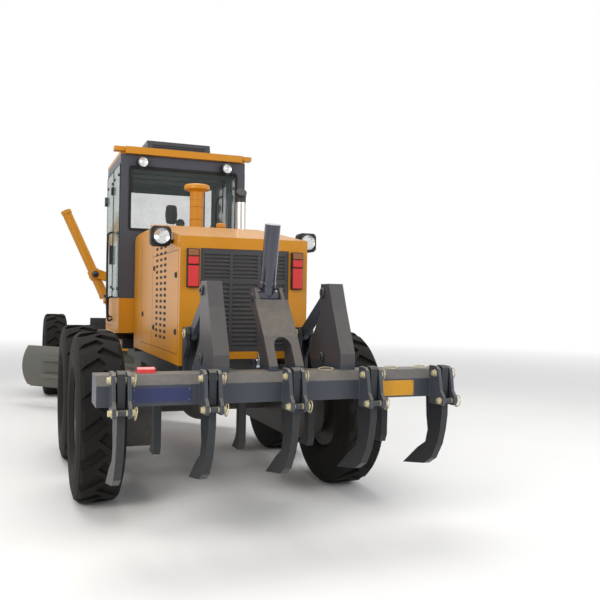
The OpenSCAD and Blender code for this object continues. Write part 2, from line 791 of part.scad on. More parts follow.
module ripper_lower_link() color("#d9a01e") {
    ear = [
        [-1770, 1000], [-1700, 1000], [-1722, 1112], [-1735, 1138], [-1778, 1138],
        [-1790, 1100]
    ];
    both_sides() link(link_a_low, link_b_low, link_y, 100, link_pin_d + fit);
    bar_y(link_tube.x, [-link_y[0] - 5, link_y[0] + 5], link_tube.y, 76);
    both_sides() difference() {
        side_plate(ear, [48, 68]);
        bar_y(ripper_eye.x, [40, 80], ripper_eye.y, 30);
    }
}

module ripper_upper_link() color("#d9a01e")
    both_sides() link(link_a_up, link_b_up, link_y, 100, link_pin_d + fit);

module ripper_beam() {
    beam = [
        [ripper_x, ripper_z], [ripper_x, 1045], [ripper_x + 60, 1100], [ripper_x + 240, 1100],
        [ripper_x + 240, ripper_z]
    ];
    face = [[-2270, 1090], [-2270, 1200], [-2130, 1490], [-2060, 1660], [-1930, 1660]];
    outer = concat(face, [
        [-1910, 1560], [-1910, 1270], [-1700, 1080], [-1700, 1030], [-1760, 1010], [-2130, 1010]
    ]);
    inner = concat(face, [
        [-1910, 1560], [-1930, 1470], [-1810, 1320], [-1760, 1230], [-1748, 1150], [-1775, 1080],
        [-1910, 1050], [-2130, 1050]
    ]);
    flange = [[-2280, 1090], [-2280, 1205], [-2140, 1495], [-2070, 1660], [-2040, 1660],
              [-2110, 1480], [-2250, 1195], [-2250, 1090]];
    centre_face = [[-2270, 1130], [-2150, 1310], [-2000, 1485]];
    centre = concat([[-2270, 1090]], centre_face, [
        [-1895, 1625], [-1825, 1625], [-1800, 1590], [-1800, 1545], [-1830, 1490], [-1900, 1440],
        [-1990, 1280], [-2040, 1150], [-2040, 1090]
    ]);
    centre_flange = [
        [-2282, 1090], [-2282, 1134], [-2160, 1317], [-2010, 1492], [-1968, 1548], [-1950, 1535],
        [-1990, 1477], [-2142, 1302], [-2260, 1125], [-2260, 1090]
    ];
    cheek = [
        [ripper_x + 10, 1130], [-2430, 1130], [-2462, 1112], [-2478, 1050], [-2490, 975],
        [-2526, 938], [-2530, 900], [-2510, 880], [ripper_x + 10, 880]
    ];
    color("#4a5560") side_plate(beam, [-ripper_half, ripper_half]);
    color("#4a5560") for (y = shank_ys) {
        for (at = [-cheek_y - 20, cheek_y]) side_plate(cheek, [y + at, y + at + 20]);
        for (pin = holder_pins) bar_y(pin.x, [y - 63, y + 63], pin.y, holder_pin_d);
    }
    color("#6b6668") {
        both_sides() {
            side_plate(outer, tower_y[1]);
            side_plate(inner, tower_y[0]);
            side_plate(flange, [tower_y[0][0], tower_y[1][1]]);
            for (pin = [link_b_low, link_b_up])
                bar_y(pin.x, [tower_y[0][0] - 5, tower_y[1][1] + 5], pin.y, link_pin_d);
        }
        difference() {
            union() {
                both_sides() side_plate(centre, [76, 100]);
                side_plate(centre_flange, [-115, 115]);
            }
            bar_y(ripper_trunnion.x, [-130, 130], ripper_trunnion.y, 44 + fit);
            // Arched slot in the face
            block([-2300, -2160], [-58, 58], [1080, 1250]);
            bar_x([-2300, -2140], 0, 1250, 116);
        }
    }
    color("#4a5560") for (y = scarifier_ys)
        block([ripper_x + 230, ripper_x + 310], [y - 35, y + 35], [ripper_z, 1080]);
}

module ripper_shanks() color("#3d444b") {
    shank = [
        [-2465, 1120], [-2440, 1135], [-2400, 1135], [-2385, 1120], [-2385, 915], [-2262, 915],
        [-2272, 780], [-2290, 690], [-2262, 605], [-2160, 548], [-1960, 405], [-2245, 455],
        [-2335, 505], [-2411, 615], [-2446, 715], [-2465, 815]
    ];
    tine = [[-2130, ripper_z], [-2060, ripper_z], [-2055, 700], [-2030, 650], [-1960, 590],
            [-2100, 590], [-2125, 640]];
    half = shank_t / 2;
    for (y = shank_ys) difference() {
        side_plate(shank, [y - half, y + half]);
        bar_y(holder_pins[0].x, [y - half - over, y + half + over], holder_pins[0].y,
              holder_pin_d + fit);
    }
    for (y = scarifier_ys) side_plate(tine, [y - half, y + half]);
}

ripper_up = (ripper_trunnion - ripper_eye) / norm(ripper_trunnion - ripper_eye);
ripper_at = function (along)
    [ripper_trunnion.x + along * ripper_up.x, 0, ripper_trunnion.y + along * ripper_up.y];

module ripper_barrel() color("#2f3336") difference() {
    union() {
        strut(ripper_at(-150), ripper_at(500), 106);
        bar_y(ripper_trunnion.x, [-70, 70], ripper_trunnion.y, 110);
        bar_y(ripper_trunnion.x, [-98, 98], ripper_trunnion.y, 44);
    }
    strut(ripper_at(-151), ripper_at(480), 56 + fit);
}

module ripper_rod() color("#b9bcc0") {
    strut(ripper_at(-norm(ripper_trunnion - ripper_eye)), ripper_at(120), 56);
    bar_y(ripper_eye.x, [-40, 40], ripper_eye.y, 68);
}

in_frame() rear_frame();
in_frame() engine_block();
in_frame() hood();
in_frame() rear_grille();
in_frame() lamps();
in_frame() air_precleaner();
in_frame() exhaust_stack();
in_frame() rear_axle();
in_frame() tandem_cases();
in_frame() cab_shell();
in_frame() cab_roof();
in_frame() cab_glass();
in_frame() driver_seat();
in_frame() steering_console();
in_frame() access_steps();
in_frame() ripper_bracket();
in_frame() articulation_barrels();
in_frame() door_panel(1);  // door_left
in_frame() door_pane(1);  // door_left_glass
in_frame() door_panel(-1);  // door_right
in_frame() door_pane(-1);  // door_right_glass
in_frame() tyre(-rear_x, 1);  // tyre_left_rear
in_frame() rear_rim(-rear_x, 1);  // rim_left_rear
in_frame() tyre(rear_x, 1);  // tyre_left_mid
in_frame() rear_rim(rear_x, 1);  // rim_left_mid
in_frame() tyre(wheelbase, 1);  // tyre_left_front
in_frame() front_rim(1);  // rim_left_front
in_frame() tyre(-rear_x, -1);  // tyre_right_rear
in_frame() rear_rim(-rear_x, -1);  // rim_right_rear
in_frame() tyre(rear_x, -1);  // tyre_right_mid
in_frame() rear_rim(rear_x, -1);  // rim_right_mid
in_frame() tyre(wheelbase, -1);  // tyre_right_front
in_frame() front_rim(-1);  // rim_right_front
in_frame() front_frame();
in_frame() nose_plate();
in_frame() saddle();
in_frame() front_axle();
in_frame() lean_bracket(1);  // lean_bracket_left
in_frame() lean_bracket(-1);  // lean_bracket_right
in_frame() knuckle(1);  // knuckle_left
in_frame() knuckle(-1);  // knuckle_right
in_frame() tie_swivel();
in_frame() tie_rod();
in_frame() lean_bar();
in_frame() articulation_rod(1);  // articulation_rod_left
in_frame() articulation_rod(-1);  // articulation_rod_right
in_frame() drawbar();
in_frame() blade_circle();
in_frame() moldboard();
in_frame() cutting_edge();
in_frame() lift_barrel(1);  // lift_barrel_left
in_frame() lift_barrel(-1);  // lift_barrel_right
in_frame() lift_rod(1);  // lift_rod_left
in_frame() lift_rod(-1);  // lift_rod_right
in_frame() ripper_lower_link();
in_frame() ripper_upper_link();
in_frame() ripper_beam();
in_frame() ripper_shanks();
in_frame() ripper_barrel();
in_frame() ripper_rod();
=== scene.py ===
import json
import math
import bmesh
import bpy
import numpy as np
from mathutils import Matrix, Vector

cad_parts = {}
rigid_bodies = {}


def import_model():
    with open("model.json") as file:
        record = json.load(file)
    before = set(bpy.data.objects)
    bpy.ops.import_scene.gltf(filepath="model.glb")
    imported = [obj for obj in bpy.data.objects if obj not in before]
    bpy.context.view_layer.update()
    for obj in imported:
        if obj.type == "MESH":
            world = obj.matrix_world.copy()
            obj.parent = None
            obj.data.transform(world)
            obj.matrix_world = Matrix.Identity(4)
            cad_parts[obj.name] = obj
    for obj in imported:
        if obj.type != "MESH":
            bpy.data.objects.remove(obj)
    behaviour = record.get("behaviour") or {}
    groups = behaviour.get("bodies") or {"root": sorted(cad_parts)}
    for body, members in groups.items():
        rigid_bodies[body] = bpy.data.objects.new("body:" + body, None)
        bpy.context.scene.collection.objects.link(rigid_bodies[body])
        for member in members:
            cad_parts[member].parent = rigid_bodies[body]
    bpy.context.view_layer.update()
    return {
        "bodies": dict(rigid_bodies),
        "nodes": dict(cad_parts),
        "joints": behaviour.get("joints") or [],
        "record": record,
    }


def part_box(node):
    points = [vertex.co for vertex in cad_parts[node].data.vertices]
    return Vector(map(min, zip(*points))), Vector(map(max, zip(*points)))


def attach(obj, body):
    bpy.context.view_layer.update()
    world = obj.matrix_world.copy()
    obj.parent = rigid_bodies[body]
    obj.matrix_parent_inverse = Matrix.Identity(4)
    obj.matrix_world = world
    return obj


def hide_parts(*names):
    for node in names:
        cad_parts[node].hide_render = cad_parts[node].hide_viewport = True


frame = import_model()
nodes = frame["nodes"]

# Places in this script are metres forward, left and up from the ground under the tandem pivot
axleLow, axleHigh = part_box("rear_axle")
pivot = Vector(((axleLow.x + axleHigh.x) / 2, (axleLow.y + axleHigh.y) / 2, 0))
offset = np.array(pivot)
sides = (("left", 1), ("right", -1))  # names of the sides, and the sign of y there


# Camera, at the photograph's place

view = {
    "place": (-6.591, 1.578, 1.5375),  # seen from the tandem pivot
    "yaw": 21.06, "pitch": 0.12, "roll": 0.9,  # degrees, right of forward, up, clockwise
    "focal": 734, "frame": 600,  # pixels
    "sensor": 36.0,
}


def makeCamera(place, yaw, pitch, roll, focal, frame, sensor):
    yaw, pitch, roll = (math.radians(angle) for angle in (yaw, pitch, roll))
    forward = Vector((math.cos(yaw) * math.cos(pitch), -math.sin(yaw) * math.cos(pitch), math.sin(pitch)))
    right = Vector((-math.sin(yaw), -math.cos(yaw), 0))
    up = right.cross(forward)
    side = right * math.cos(roll) + up * math.sin(roll)
    top = -right * math.sin(roll) + up * math.cos(roll)
    data = bpy.data.cameras.new("camera")
    data.sensor_width = sensor
    data.lens = focal / frame * sensor
    camera = bpy.data.objects.new("camera", data)
    camera.matrix_world = (Matrix.Translation(pivot + Vector(place))
                           @ Matrix((side, top, -forward)).transposed().to_4x4())
    bpy.context.scene.collection.objects.link(camera)
    bpy.context.scene.camera = camera


makeCamera(**view)
print("camera placed")


# Shader maths: expressions on wires add their nodes

class Wire:
    def __init__(self, finish, socket):
        self.finish, self.socket = finish, socket

    def maths(self, operation, *values):
        return self.finish.node("ShaderNodeMath", {"operation": operation}, dict(enumerate(values)))

    __add__ = __radd__ = lambda self, other: self.maths("ADD", self, other)
    __mul__ = __rmul__ = lambda self, other: self.maths("MULTIPLY", self, other)
    __sub__ = lambda self, other: self.maths("SUBTRACT", self, other)
    __rsub__ = lambda self, other: self.maths("SUBTRACT", other, self)
    __pow__ = lambda self, other: self.maths("POWER", self, other)
    upTo = lambda self, other: self.maths("MINIMUM", self, other)

    def between(self, low, high):
        # 0 below low, 1 above high, straight between them
        return self.finish.node("ShaderNodeMapRange", {"clamp": True},
                                {0: self, 1: low, 2: high, 3: 0.0, 4: 1.0})


class Nodes:
    def __init__(self, tree):
        self.tree = tree

    def node(self, kind, settings, sockets, output=0):
        made = self.tree.nodes.new(kind)
        for name, value in settings.items():
            setattr(made, name, value)
        for name, value in sockets.items():
            self.join(made.inputs[name], value)
        return Wire(self, made.outputs[output])

    def join(self, socket, value):
        if isinstance(value, Wire):
            self.tree.links.new(value.socket, socket)
        else:
            socket.default_value = value

    def seen(self):
        # 1 for rays from the camera, off a mirror or through a window, 0 for those that only light
        rays = self.tree.nodes.new("ShaderNodeLightPath").outputs
        camera, glossy, through = (Wire(self, rays["Is " + kind + " Ray"])
                                   for kind in ("Camera", "Glossy", "Transmission"))
        return (camera + glossy + through).upTo(1.0)


socketNames = {"colour": "Base Color", "rough": "Roughness", "metal": "Metallic", "alpha": "Alpha"}


class Finish(Nodes):
    def __init__(self, name, **constants):
        self.material = bpy.data.materials.new(name)
        self.material.use_nodes = True
        super().__init__(self.material.node_tree)
        self.surface = self.tree.nodes["Principled BSDF"]
        for words, value in constants.items():
            self.surface.inputs[words].default_value = value
        place = self.tree.nodes.new("ShaderNodeTexCoord")
        self.place = Wire(self, place.outputs["Object"])
        self.x, self.y, self.z = self.parts(place.outputs["Object"])
        self.upward = self.parts(place.outputs["Normal"])[2]
        self.rounded = None

    def parts(self, socket):
        split = self.tree.nodes.new("ShaderNodeSeparateXYZ")
        self.tree.links.new(socket, split.inputs[0])
        return [Wire(self, part) for part in split.outputs]

    def set(self, **sockets):
        for name, value in sockets.items():
            self.join(self.surface.inputs[socketNames[name]], value)

    def noise(self, scale, detail=4.0, rough=0.55, stretch=None):
        where = self.place
        if stretch:
            where = self.node("ShaderNodeVectorMath", {"operation": "MULTIPLY"}, {0: where, 1: stretch})
        return self.node("ShaderNodeTexNoise", {},
                         {"Vector": where, "Scale": scale, "Detail": detail, "Roughness": rough})

    def mix(self, amount, first, second):
        return self.node("ShaderNodeMix", {"data_type": "RGBA", "clamp_factor": True},
                         {0: amount, 6: first, 7: second}, output=2)

    def edges(self, width):
        # 1 on sharp edges, from the turn between the true normal and a rounded one
        self.rounded = self.node("ShaderNodeBevel", {"samples": 4}, {"Radius": width})
        true = self.node("ShaderNodeNewGeometry", {}, {}, output=1)
        along = self.node("ShaderNodeVectorMath", {"operation": "DOT_PRODUCT"},
                          {0: self.rounded, 1: true}, output=1)
        return (1 - along).between(0.01, 0.16)

    def bump(self, height, distance, strength):
        sockets = {"Height": height, "Distance": distance, "Strength": strength}
        if self.rounded:
            sockets["Normal"] = self.rounded
        self.join(self.surface.inputs["Normal"], self.node("ShaderNodeBump", {}, sockets))


def tone(*rgb):
    # 8-bit screen colour as the linear colour that a shader takes
    linear = [((c / 255 + 0.055) / 1.055) ** 2.4 if c > 10 else c / 255 / 12.92 for c in rgb]
    return (*linear, 1.0)


def shade(colour, by):
    return (*[c * by for c in colour[:3]], 1.0)


# Painted steel: dust on top and low down, worn edges, streaks and a fine orange peel

dust = tone(150, 138, 118)


def paintedSteel(name, colour, bare, rough, coat, wear, topDust, lowDust, edge=0.006, shine=0.0,
                 second=None, where=None):
    # bare is the colour of worn edges, second another paint where the function where gives 1
    finish = Finish(name, **{"Metallic": shine, "Coat Weight": coat, "Coat Roughness": 0.2,
                             "Specular IOR Level": 0.38})
    colour = tone(*colour)
    bare = tone(*bare) if bare else shade(colour, 0.35)
    broad = finish.noise(1.3, 5.0)
    grain = finish.noise(24.0, 6.0, 0.65)
    streak = finish.noise(9.0, 4.0, 0.6, stretch=(1.0, 1.0, 0.12))
    fine = finish.noise(160.0, 2.0)
    worn = finish.edges(edge) * (grain * 1.6 - 0.45).between(0.0, 0.5) * wear
    top = finish.upward.between(0.35, 0.95) * (broad * 0.6 + grain * 0.8).between(0.3, 1.0) * topDust
    low = (1 - finish.z).between(0.0, 1.1) * (grain * 0.7 + broad * 0.7).between(0.35, 1.05) * lowDust
    uneven = (broad * 0.7 + streak * 0.5).between(0.4, 0.85) * 0.55
    body = finish.mix(uneven, colour, shade(colour, 0.82))
    if second:
        other = tone(*second)
        body = finish.mix(where(finish), body, finish.mix(uneven, other, shade(other, 0.82)))
    dusty = finish.mix((top + low).upTo(0.85), body, dust)
    finish.set(colour=finish.mix(worn, dusty, bare),
               rough=(rough + grain * 0.12 + (top + low) * 0.5 + worn * 0.2).upTo(0.95))
    finish.bump(fine * 0.25 + grain, 0.0006, 0.35)
    return finish.material


machine = ((198, 130, 4), (96, 62, 22), 0.34, 0.15, 0.5, 0.4, 0.5)
ripper = ((58, 63, 72), (128, 122, 112), 0.4, 0.15, 0.7, 0.75, 0.3)
paints = {
    # name: colour, worn edges' colour, roughness, clear coat, wear, dust on top, dust low down
    "machineYellow": machine, "roofYellow": machine, "ripperSlate": ripper, "ripperTwoTone": ripper,
    "cabTwoTone": ((62, 63, 72), (90, 88, 86), 0.42, 0.15, 0.3, 0.2, 0.1),
    # the shanks are dark steel, made darker still by painted shade for the shadow they stand in
    "shankSteel": ((31, 34, 39), (96, 92, 86), 0.45, 0.15, 0.7, 0.35, 0.12),
    "cylinderBlue": ((56, 58, 72), (110, 110, 110), 0.12, 0.9, 0.2, 0.1, 0.0),
    "plateBlue": ((38, 46, 92), (150, 150, 150), 0.3, 0.15, 0.4, 0.2, 0.1),
    "plateYellow": ((206, 146, 22), (120, 100, 60), 0.3, 0.15, 0.4, 0.2, 0.1),
    "frameCharcoal": ((42, 44, 49), (110, 106, 100), 0.45, 0.15, 0.5, 0.35, 0.6),
    "rimBlack": ((30, 30, 31), (70, 68, 66), 0.35, 0.15, 0.5, 0.35, 0.35),
    "grilleGrey": ((58, 57, 59), (90, 90, 92), 0.4, 0.1, 0.4, 0.3, 0.2),
    "bladeGrey": ((86, 87, 82), (150, 146, 138), 0.5, 0.15, 0.5, 0.35, 0.5),
    "engineGrey": ((96, 96, 94), None, 0.6, 0.15, 0.5, 0.35, 0.5),
    # near-black for rubber, hoses, pipes and seams, and also the painted shade in the hood's and cooler's vents
    "blackAndShade": ((24, 24, 25), (40, 40, 40), 0.7, 0.0, 0.1, 0.2, 0.2),
    "plasticBlack": ((32, 33, 35), (60, 60, 60), 0.55, 0.0, 0.2, 0.35, 0.5),
    "zincGold": ((206, 194, 156), (120, 104, 70), 0.24, 0.15, 0.3, 0.2, 0.5),
    "zincDull": ((120, 118, 112), (80, 78, 74), 0.4, 0.15, 0.3, 0.3, 0.3),
    "lampAmber": ((138, 78, 34), (120, 60, 20), 0.18, 0.6, 0.0, 0.35, 0.5),
    "lampRed": ((206, 20, 24), (120, 20, 20), 0.18, 0.6, 0.0, 0.35, 0.5),
    "lampFrost": ((232, 234, 230), None, 0.3, 0.3, 0.0, 0.0, 0.0),
}
extras = {
    "grilleGrey": dict(edge=0.003), "plasticBlack": dict(edge=0.003),
    "cylinderBlue": dict(shine=0.4), "zincGold": dict(shine=0.6),
    # the cooler stands above the roof's yellow panel, the cab is yellow below its windows, and the ripper's
    # towers are a warmer grey than its beam
    "roofYellow": dict(second=(58, 58, 62), where=lambda f: f.z.between(3.0505, 3.052)),
    "cabTwoTone": dict(second=machine[0], where=lambda f: (1.545 - f.z).between(0.0, 0.002)),
    "ripperTwoTone": dict(second=(72, 69, 71), where=lambda f: f.z.between(1.131, 1.133)),
}
finishes = {name: paintedSteel(name, *row, **extras.get(name, {})) for name, row in paints.items()}


def tyreRubber():
    finish = Finish("tyreRubber", **{"Specular IOR Level": 0.3})
    broad = finish.noise(3.0, 5.0)
    grain = finish.noise(60.0, 6.0, 0.7)
    dirt = (broad * 0.8 + grain * 0.6).between(0.45, 0.95)
    finish.set(colour=finish.mix(dirt * 0.55, tone(13, 12, 11), tone(36, 32, 28)), rough=0.8 + grain * 0.15)
    finish.bump(grain, 0.0015, 0.6)
    return finish.material


def chromed(name, colour, rough, sooty=None):
    # sooty is the height above which the metal is painted black
    finish = Finish(name, **{"Metallic": 1.0})
    broad = finish.noise(6.0, 4.0)
    fine = finish.noise(90.0, 5.0, 0.7)
    smear = (broad * 0.7 + fine * 0.5).between(0.4, 0.9)
    body, gloss, metal = finish.mix(smear * 0.4, colour, shade(colour, 0.62)), rough + smear * 0.22, 1.0
    if sooty:
        black = finish.z.between(sooty, sooty + 0.002)
        body, gloss, metal = finish.mix(black, body, tone(30, 30, 31)), gloss + black * 0.3, 1 - black
    finish.set(colour=body, rough=gloss, metal=metal)
    finish.bump(fine, 0.0002, 0.3)
    return finish.material


def wovenCloth():
    # crossed threads about 2 mm apart, a little paler where the cloth is rubbed
    finish = Finish("seatCloth", **{"Roughness": 0.9, "Sheen Weight": 0.3, "Specular IOR Level": 0.2})
    threads = [finish.node("ShaderNodeTexWave", {"wave_type": "BANDS", "bands_direction": axis},
                           {"Vector": finish.place, "Scale": 160.0, "Distortion": 0.4}, output=1)
               for axis in "XYZ"]
    weave = threads[0] * 0.4 + threads[1] * 0.4 + threads[2] * 0.4
    broad = finish.noise(7.0, 5.0)
    body = finish.mix(broad.between(0.35, 0.75) * 0.5, tone(38, 39, 42), tone(62, 62, 64))
    finish.set(colour=finish.mix(weave * 0.35, body, tone(78, 79, 82)), rough=0.82 + weave * 0.1)
    finish.bump(weave, 0.0006, 0.5)
    return finish.material


def windowGlass(name, clear, low):
    # a little dust everywhere, and less to see through at a slant, where the base colour shows; a pale base
    # colour is a painted reflection there
    finish = Finish(name, **{"Base Color": clear, "Roughness": 0.03, "Specular IOR Level": 0.6})
    film = finish.noise(4.0, 5.0, 0.6)
    edge = finish.noise(30.0, 5.0, 0.7)
    smudge = (film * 0.7 + edge * 0.4).between(0.42, 0.85)
    slant = finish.node("ShaderNodeLayerWeight", {}, {"Blend": 0.35}, output=1)
    finish.set(alpha=(low + smudge * 0.08 + slant * slant * slant * (0.9 - low)).upTo(0.95),
               rough=0.02 + smudge * 0.16)
    finish.material.surface_render_method = "DITHERED"
    return finish.material


metals = {"rodChrome": ((205, 207, 210), 0.16), "stackChrome": ((206, 202, 196), 0.14, 2.47),
          "mirrorSilver": ((226, 228, 230), 0.06)}
# the side panes' pale base colour is a painted reflection, shown where they are seen at a slant
glasses = {"windowGlass": ((96, 112, 110), 0.1), "sideGlassAndGlare": ((176, 192, 180), 0.06),
           "lampGlass": ((232, 236, 238), 0.1)}
finishes.update({name: chromed(name, tone(*row[0]), *row[1:]) for name, row in metals.items()})
finishes.update({name: windowGlass(name, tone(*clear), low) for name, (clear, low) in glasses.items()})
finishes.update(tyreRubber=tyreRubber(), seatCloth=wovenCloth())
print("finishes mixed:", len(finishes))

# The CAD nodes in each finish, by the starts of their names; the longest start that fits a name wins
nodeFinishes = {
    "machineYellow": "hood air_precleaner articulation_ front_frame saddle front_axle lean_ drawbar lift_barrel",
    "frameCharcoal": "rear_frame rear_axle tandem_cases access_steps ripper_bracket nose_plate knuckle_ tie_",
    "engineGrey": "engine_block", "grilleGrey": "rear_grille", "plasticBlack": "lamps steering_console",
    "stackChrome": "exhaust_stack", "cabTwoTone": "cab_shell door_", "roofYellow": "cab_roof",
    "windowGlass": "cab_glass door_left_glass door_right_glass", "seatCloth": "driver_seat",
    "ripperSlate": "ripper_", "ripperTwoTone": "ripper_beam", "shankSteel": "ripper_shanks",
    "cylinderBlue": "ripper_barrel", "rodChrome": "ripper_rod articulation_rod lift_rod",
    "tyreRubber": "tyre_", "rimBlack": "rim_", "bladeGrey": "blade_circle moldboard cutting_edge",
}
# The finish for each start of a CAD node's name
finishOf = {start: finish for finish, starts in nodeFinishes.items() for start in starts.split()}
for name, node in nodes.items():
    start = max((start for start in finishOf if name.startswith(start)), key=len)
    node.data.materials.clear()
    node.data.materials.append(finishes[finishOf[start]])


# Surfaces: grids of points worked out as whole arrays

def grid(points, down=False, around=False):
    # joins the neighbours in a rows by columns array of points; down and around close its two directions
    rows, columns = points.shape[:2]
    row = np.arange(rows if down else rows - 1)[:, None]
    column = np.arange(columns if around else columns - 1)[None, :]
    nextRow, nextColumn = (row + 1) % rows, (column + 1) % columns
    corners = np.broadcast_arrays(row * columns + column, row * columns + nextColumn,
                                  nextRow * columns + nextColumn, nextRow * columns + column)
    return points.reshape(-1, 3), np.stack(corners, axis=-1).reshape(-1, 4).tolist()


def unit(vector):
    # the vector divided by its length
    vector = np.asarray(vector, float)
    return vector / np.linalg.norm(vector, axis=-1, keepdims=True)


def roundAngles(count):
    return np.arange(count) * (2 * math.pi / count)


def acrossFrom(axis):
    # two directions square to an axis and to each other
    axis = unit(axis)
    helper = np.array([0.0, 0.0, 1.0]) if abs(axis[2]) < 0.9 else np.array([0.0, 1.0, 0.0])
    side = unit(np.cross(helper, axis))
    return side, np.cross(axis, side)


def turned(profile, place, axis=(0, 0, 1), steps=32):
    # surface of revolution: each (radius, reach) of the profile goes round the axis
    radius, reach = np.array(profile, float).T[:, :, None, None]
    angle = roundAngles(steps)[None, :, None]
    side, up = acrossFrom(axis)
    ring = np.cos(angle) * side + np.sin(angle) * up
    return grid(np.array(place, float) + reach * unit(axis) + radius * ring, around=True)


def smoothPath(points, count):
    # Catmull-Rom curve through the points: a cubic between neighbours with their chords as slopes
    points = np.asarray(points, float)
    ends = np.vstack([2 * points[0] - points[1], points, 2 * points[-1] - points[-2]])
    at = np.linspace(0, len(points) - 1 - 1e-9, count)
    i = at.astype(int)
    t = (at - i)[:, None]
    a, b, c, d = (ends[i + k] for k in range(4))
    return 0.5 * (2 * b + (c - a) * t + (2 * a - 5 * b + 4 * c - d) * t ** 2 + (3 * b - a - 3 * c + d) * t ** 3)


def tube(path, radius, steps=12):
    # a circle carried along a path, square to it, and closed by a point at each end
    path = np.asarray(path, float)
    along = unit(np.gradient(path, axis=0))
    helper = np.eye(3)[int(np.argmin(np.ptp(path, axis=0)))]
    side = unit(np.cross(along, helper))
    up = np.cross(side, along)
    angle = roundAngles(steps)[None, :, None]
    ring = np.cos(angle) * side[:, None] + np.sin(angle) * up[:, None]
    wide = np.broadcast_to(np.asarray(radius, float), len(path))[:, None, None]
    first, last = np.repeat(path[None, :1], steps, 1), np.repeat(path[None, -1:], steps, 1)
    return grid(np.concatenate([first, path[:, None] + wide * ring, last]), around=True)


def closedWire(path, wire):
    # a circle carried round a closed path
    along = unit(np.roll(path, -1, 0) - np.roll(path, 1, 0))
    out = unit(path - path.mean(0))
    up = np.cross(along, out)
    turn = roundAngles(8)[None, :, None]
    return grid(path[:, None] + wire * (np.cos(turn) * out[:, None] + np.sin(turn) * up[:, None]),
                down=True, around=True)


def ringClip(centre, radius, wire, tilt):
    # a wire loop through the pin's end, leaning a little aside
    angle = roundAngles(28)
    path = np.stack([radius * np.cos(angle), radius * math.sin(tilt) * (1 + np.sin(angle)),
                     -radius * math.cos(tilt) * (1 - np.sin(angle))], 1)
    return closedWire(path + np.array(centre), wire)


def insetOf(outline, by):
    # moves each corner in along the mitre of its two sides
    outline = np.asarray(outline, float)
    ahead = unit(np.roll(outline, -1, 0) - outline)
    behind = np.roll(ahead, 1, 0)
    x, y = outline.T
    turn = np.sign(np.sum(x * np.roll(y, -1) - y * np.roll(x, -1)))
    inward, inwardBehind = (np.stack([-v[:, 1], v[:, 0]], 1) * turn for v in (ahead, behind))
    share = 1 + np.sum(inward * inwardBehind, axis=1, keepdims=True)
    return outline + by * (inward + inwardBehind) / np.maximum(share, 0.3)


def layers(plane, levels):
    # flat outlines in the plane of two axes, each at its reach along the third
    columns = ["xyz".index(axis) for axis in plane]
    rings = []
    for outline, reach in levels:
        ring = np.full((len(outline), 3), float(reach))
        ring[:, columns] = outline
        rings.append(ring)
    return np.array(rings)


def slab(outline, plane, low, high, edge=0.003):
    # an outline with chamfered edges, from low to high
    inner, count = insetOf(outline, edge), len(outline)
    points, faces = grid(layers(plane, ((inner, low), (outline, low + edge), (outline, high - edge),
                                        (inner, high))), around=True)
    return points, faces + [list(range(count)), list(range(3 * count, 4 * count))]


def flat(x0, y0, x1, y1):
    # the corners of a rectangle
    return [(x0, y0), (x1, y0), (x1, y1), (x0, y1)]


def grown(box, by):
    (x0, y0), (x1, y1) = box
    return (x0 - by, y0 - by), (x1 + by, y1 + by)


def roundedFlat(low, high, radius, steps=4):
    # outline of a rectangle with quarter circles at its corners
    (left, bottom), (right, top) = low, high
    angle = np.linspace(0, math.pi / 2, steps)
    centres = [(right - radius, top - radius), (left + radius, top - radius),
               (left + radius, bottom + radius), (right - radius, bottom + radius)]
    return np.concatenate([np.stack([cx + radius * np.cos(angle + k * math.pi / 2),
                                     cy + radius * np.sin(angle + k * math.pi / 2)], 1)
                           for k, (cx, cy) in enumerate(centres)])


def plate(low, high, radius, plane, near, far, edge, steps=4):
    return slab(roundedFlat(low, high, radius, steps), plane, near, far, edge)


def frameRing(low, high, plane, near, far, width):
    # a rounded rectangle's band with a square section, closed all round
    outer = roundedFlat(low, high, 0.03, 5)
    inner = insetOf(outer, width)
    return grid(layers(plane, ((outer, near), (outer, far - 0.002), (insetOf(outer, 0.003), far),
                               (insetOf(outer, width - 0.003), far), (inner, far - 0.002), (inner, near))),
                down=True, around=True)


def pillow(low, high, radius, steps):
    # a ball's directions, each moved out by a box's half sizes less the radius: a box with round edges
    low, high = np.asarray(low, float), np.asarray(high, float)
    rise = np.linspace(-math.pi / 2, math.pi / 2, steps // 2 + 1)[:, None]
    turn = (np.arange(steps)[None, :] + 0.5) * (2 * math.pi / steps)
    ball = np.stack([np.cos(rise) * np.cos(turn), np.cos(rise) * np.sin(turn), np.sin(rise) + 0 * turn], -1)
    inner = (high - low) / 2 - radius
    return grid((low + high) / 2 + np.sign(np.round(ball, 9)) * inner + radius * ball, around=True)


def loop(*profile):
    # a profile that ends where it starts
    return [*profile, profile[0]]


def hexHead(place, axis, size, height):
    # a hexagon with a chamfered crown
    radius = size / 2
    crown = [(radius, height * 0.8), (radius * 0.86, height)]
    return turned([(0, 0), (radius, 0), *crown, (0, height)], place, axis, 6)


def pinCap(place, axis, sizes, steps=24):
    # a chamfered disc on a pin's end, with a hexagon on it
    radius, rim, top, height, across, head = sizes
    return [turned([(0, 0), (radius, 0), (radius, rim), (top, height), (0, height)], place, axis, steps),
            hexHead(np.array(place) + height * np.array(axis), axis, across, head)]


def gland(place, axis, radius, out, rise, length):
    # a band round a cylinder
    return turned(loop((radius, 0), (radius + out, rise), (radius + out, length - 0.004), (radius, length)),
                  place, axis, 40)


def onSide(way, parts):
    return [(points * [1, way, 1], faces) for points, faces in parts]


def bothSides(parts):
    return parts + onSide(-1, parts)


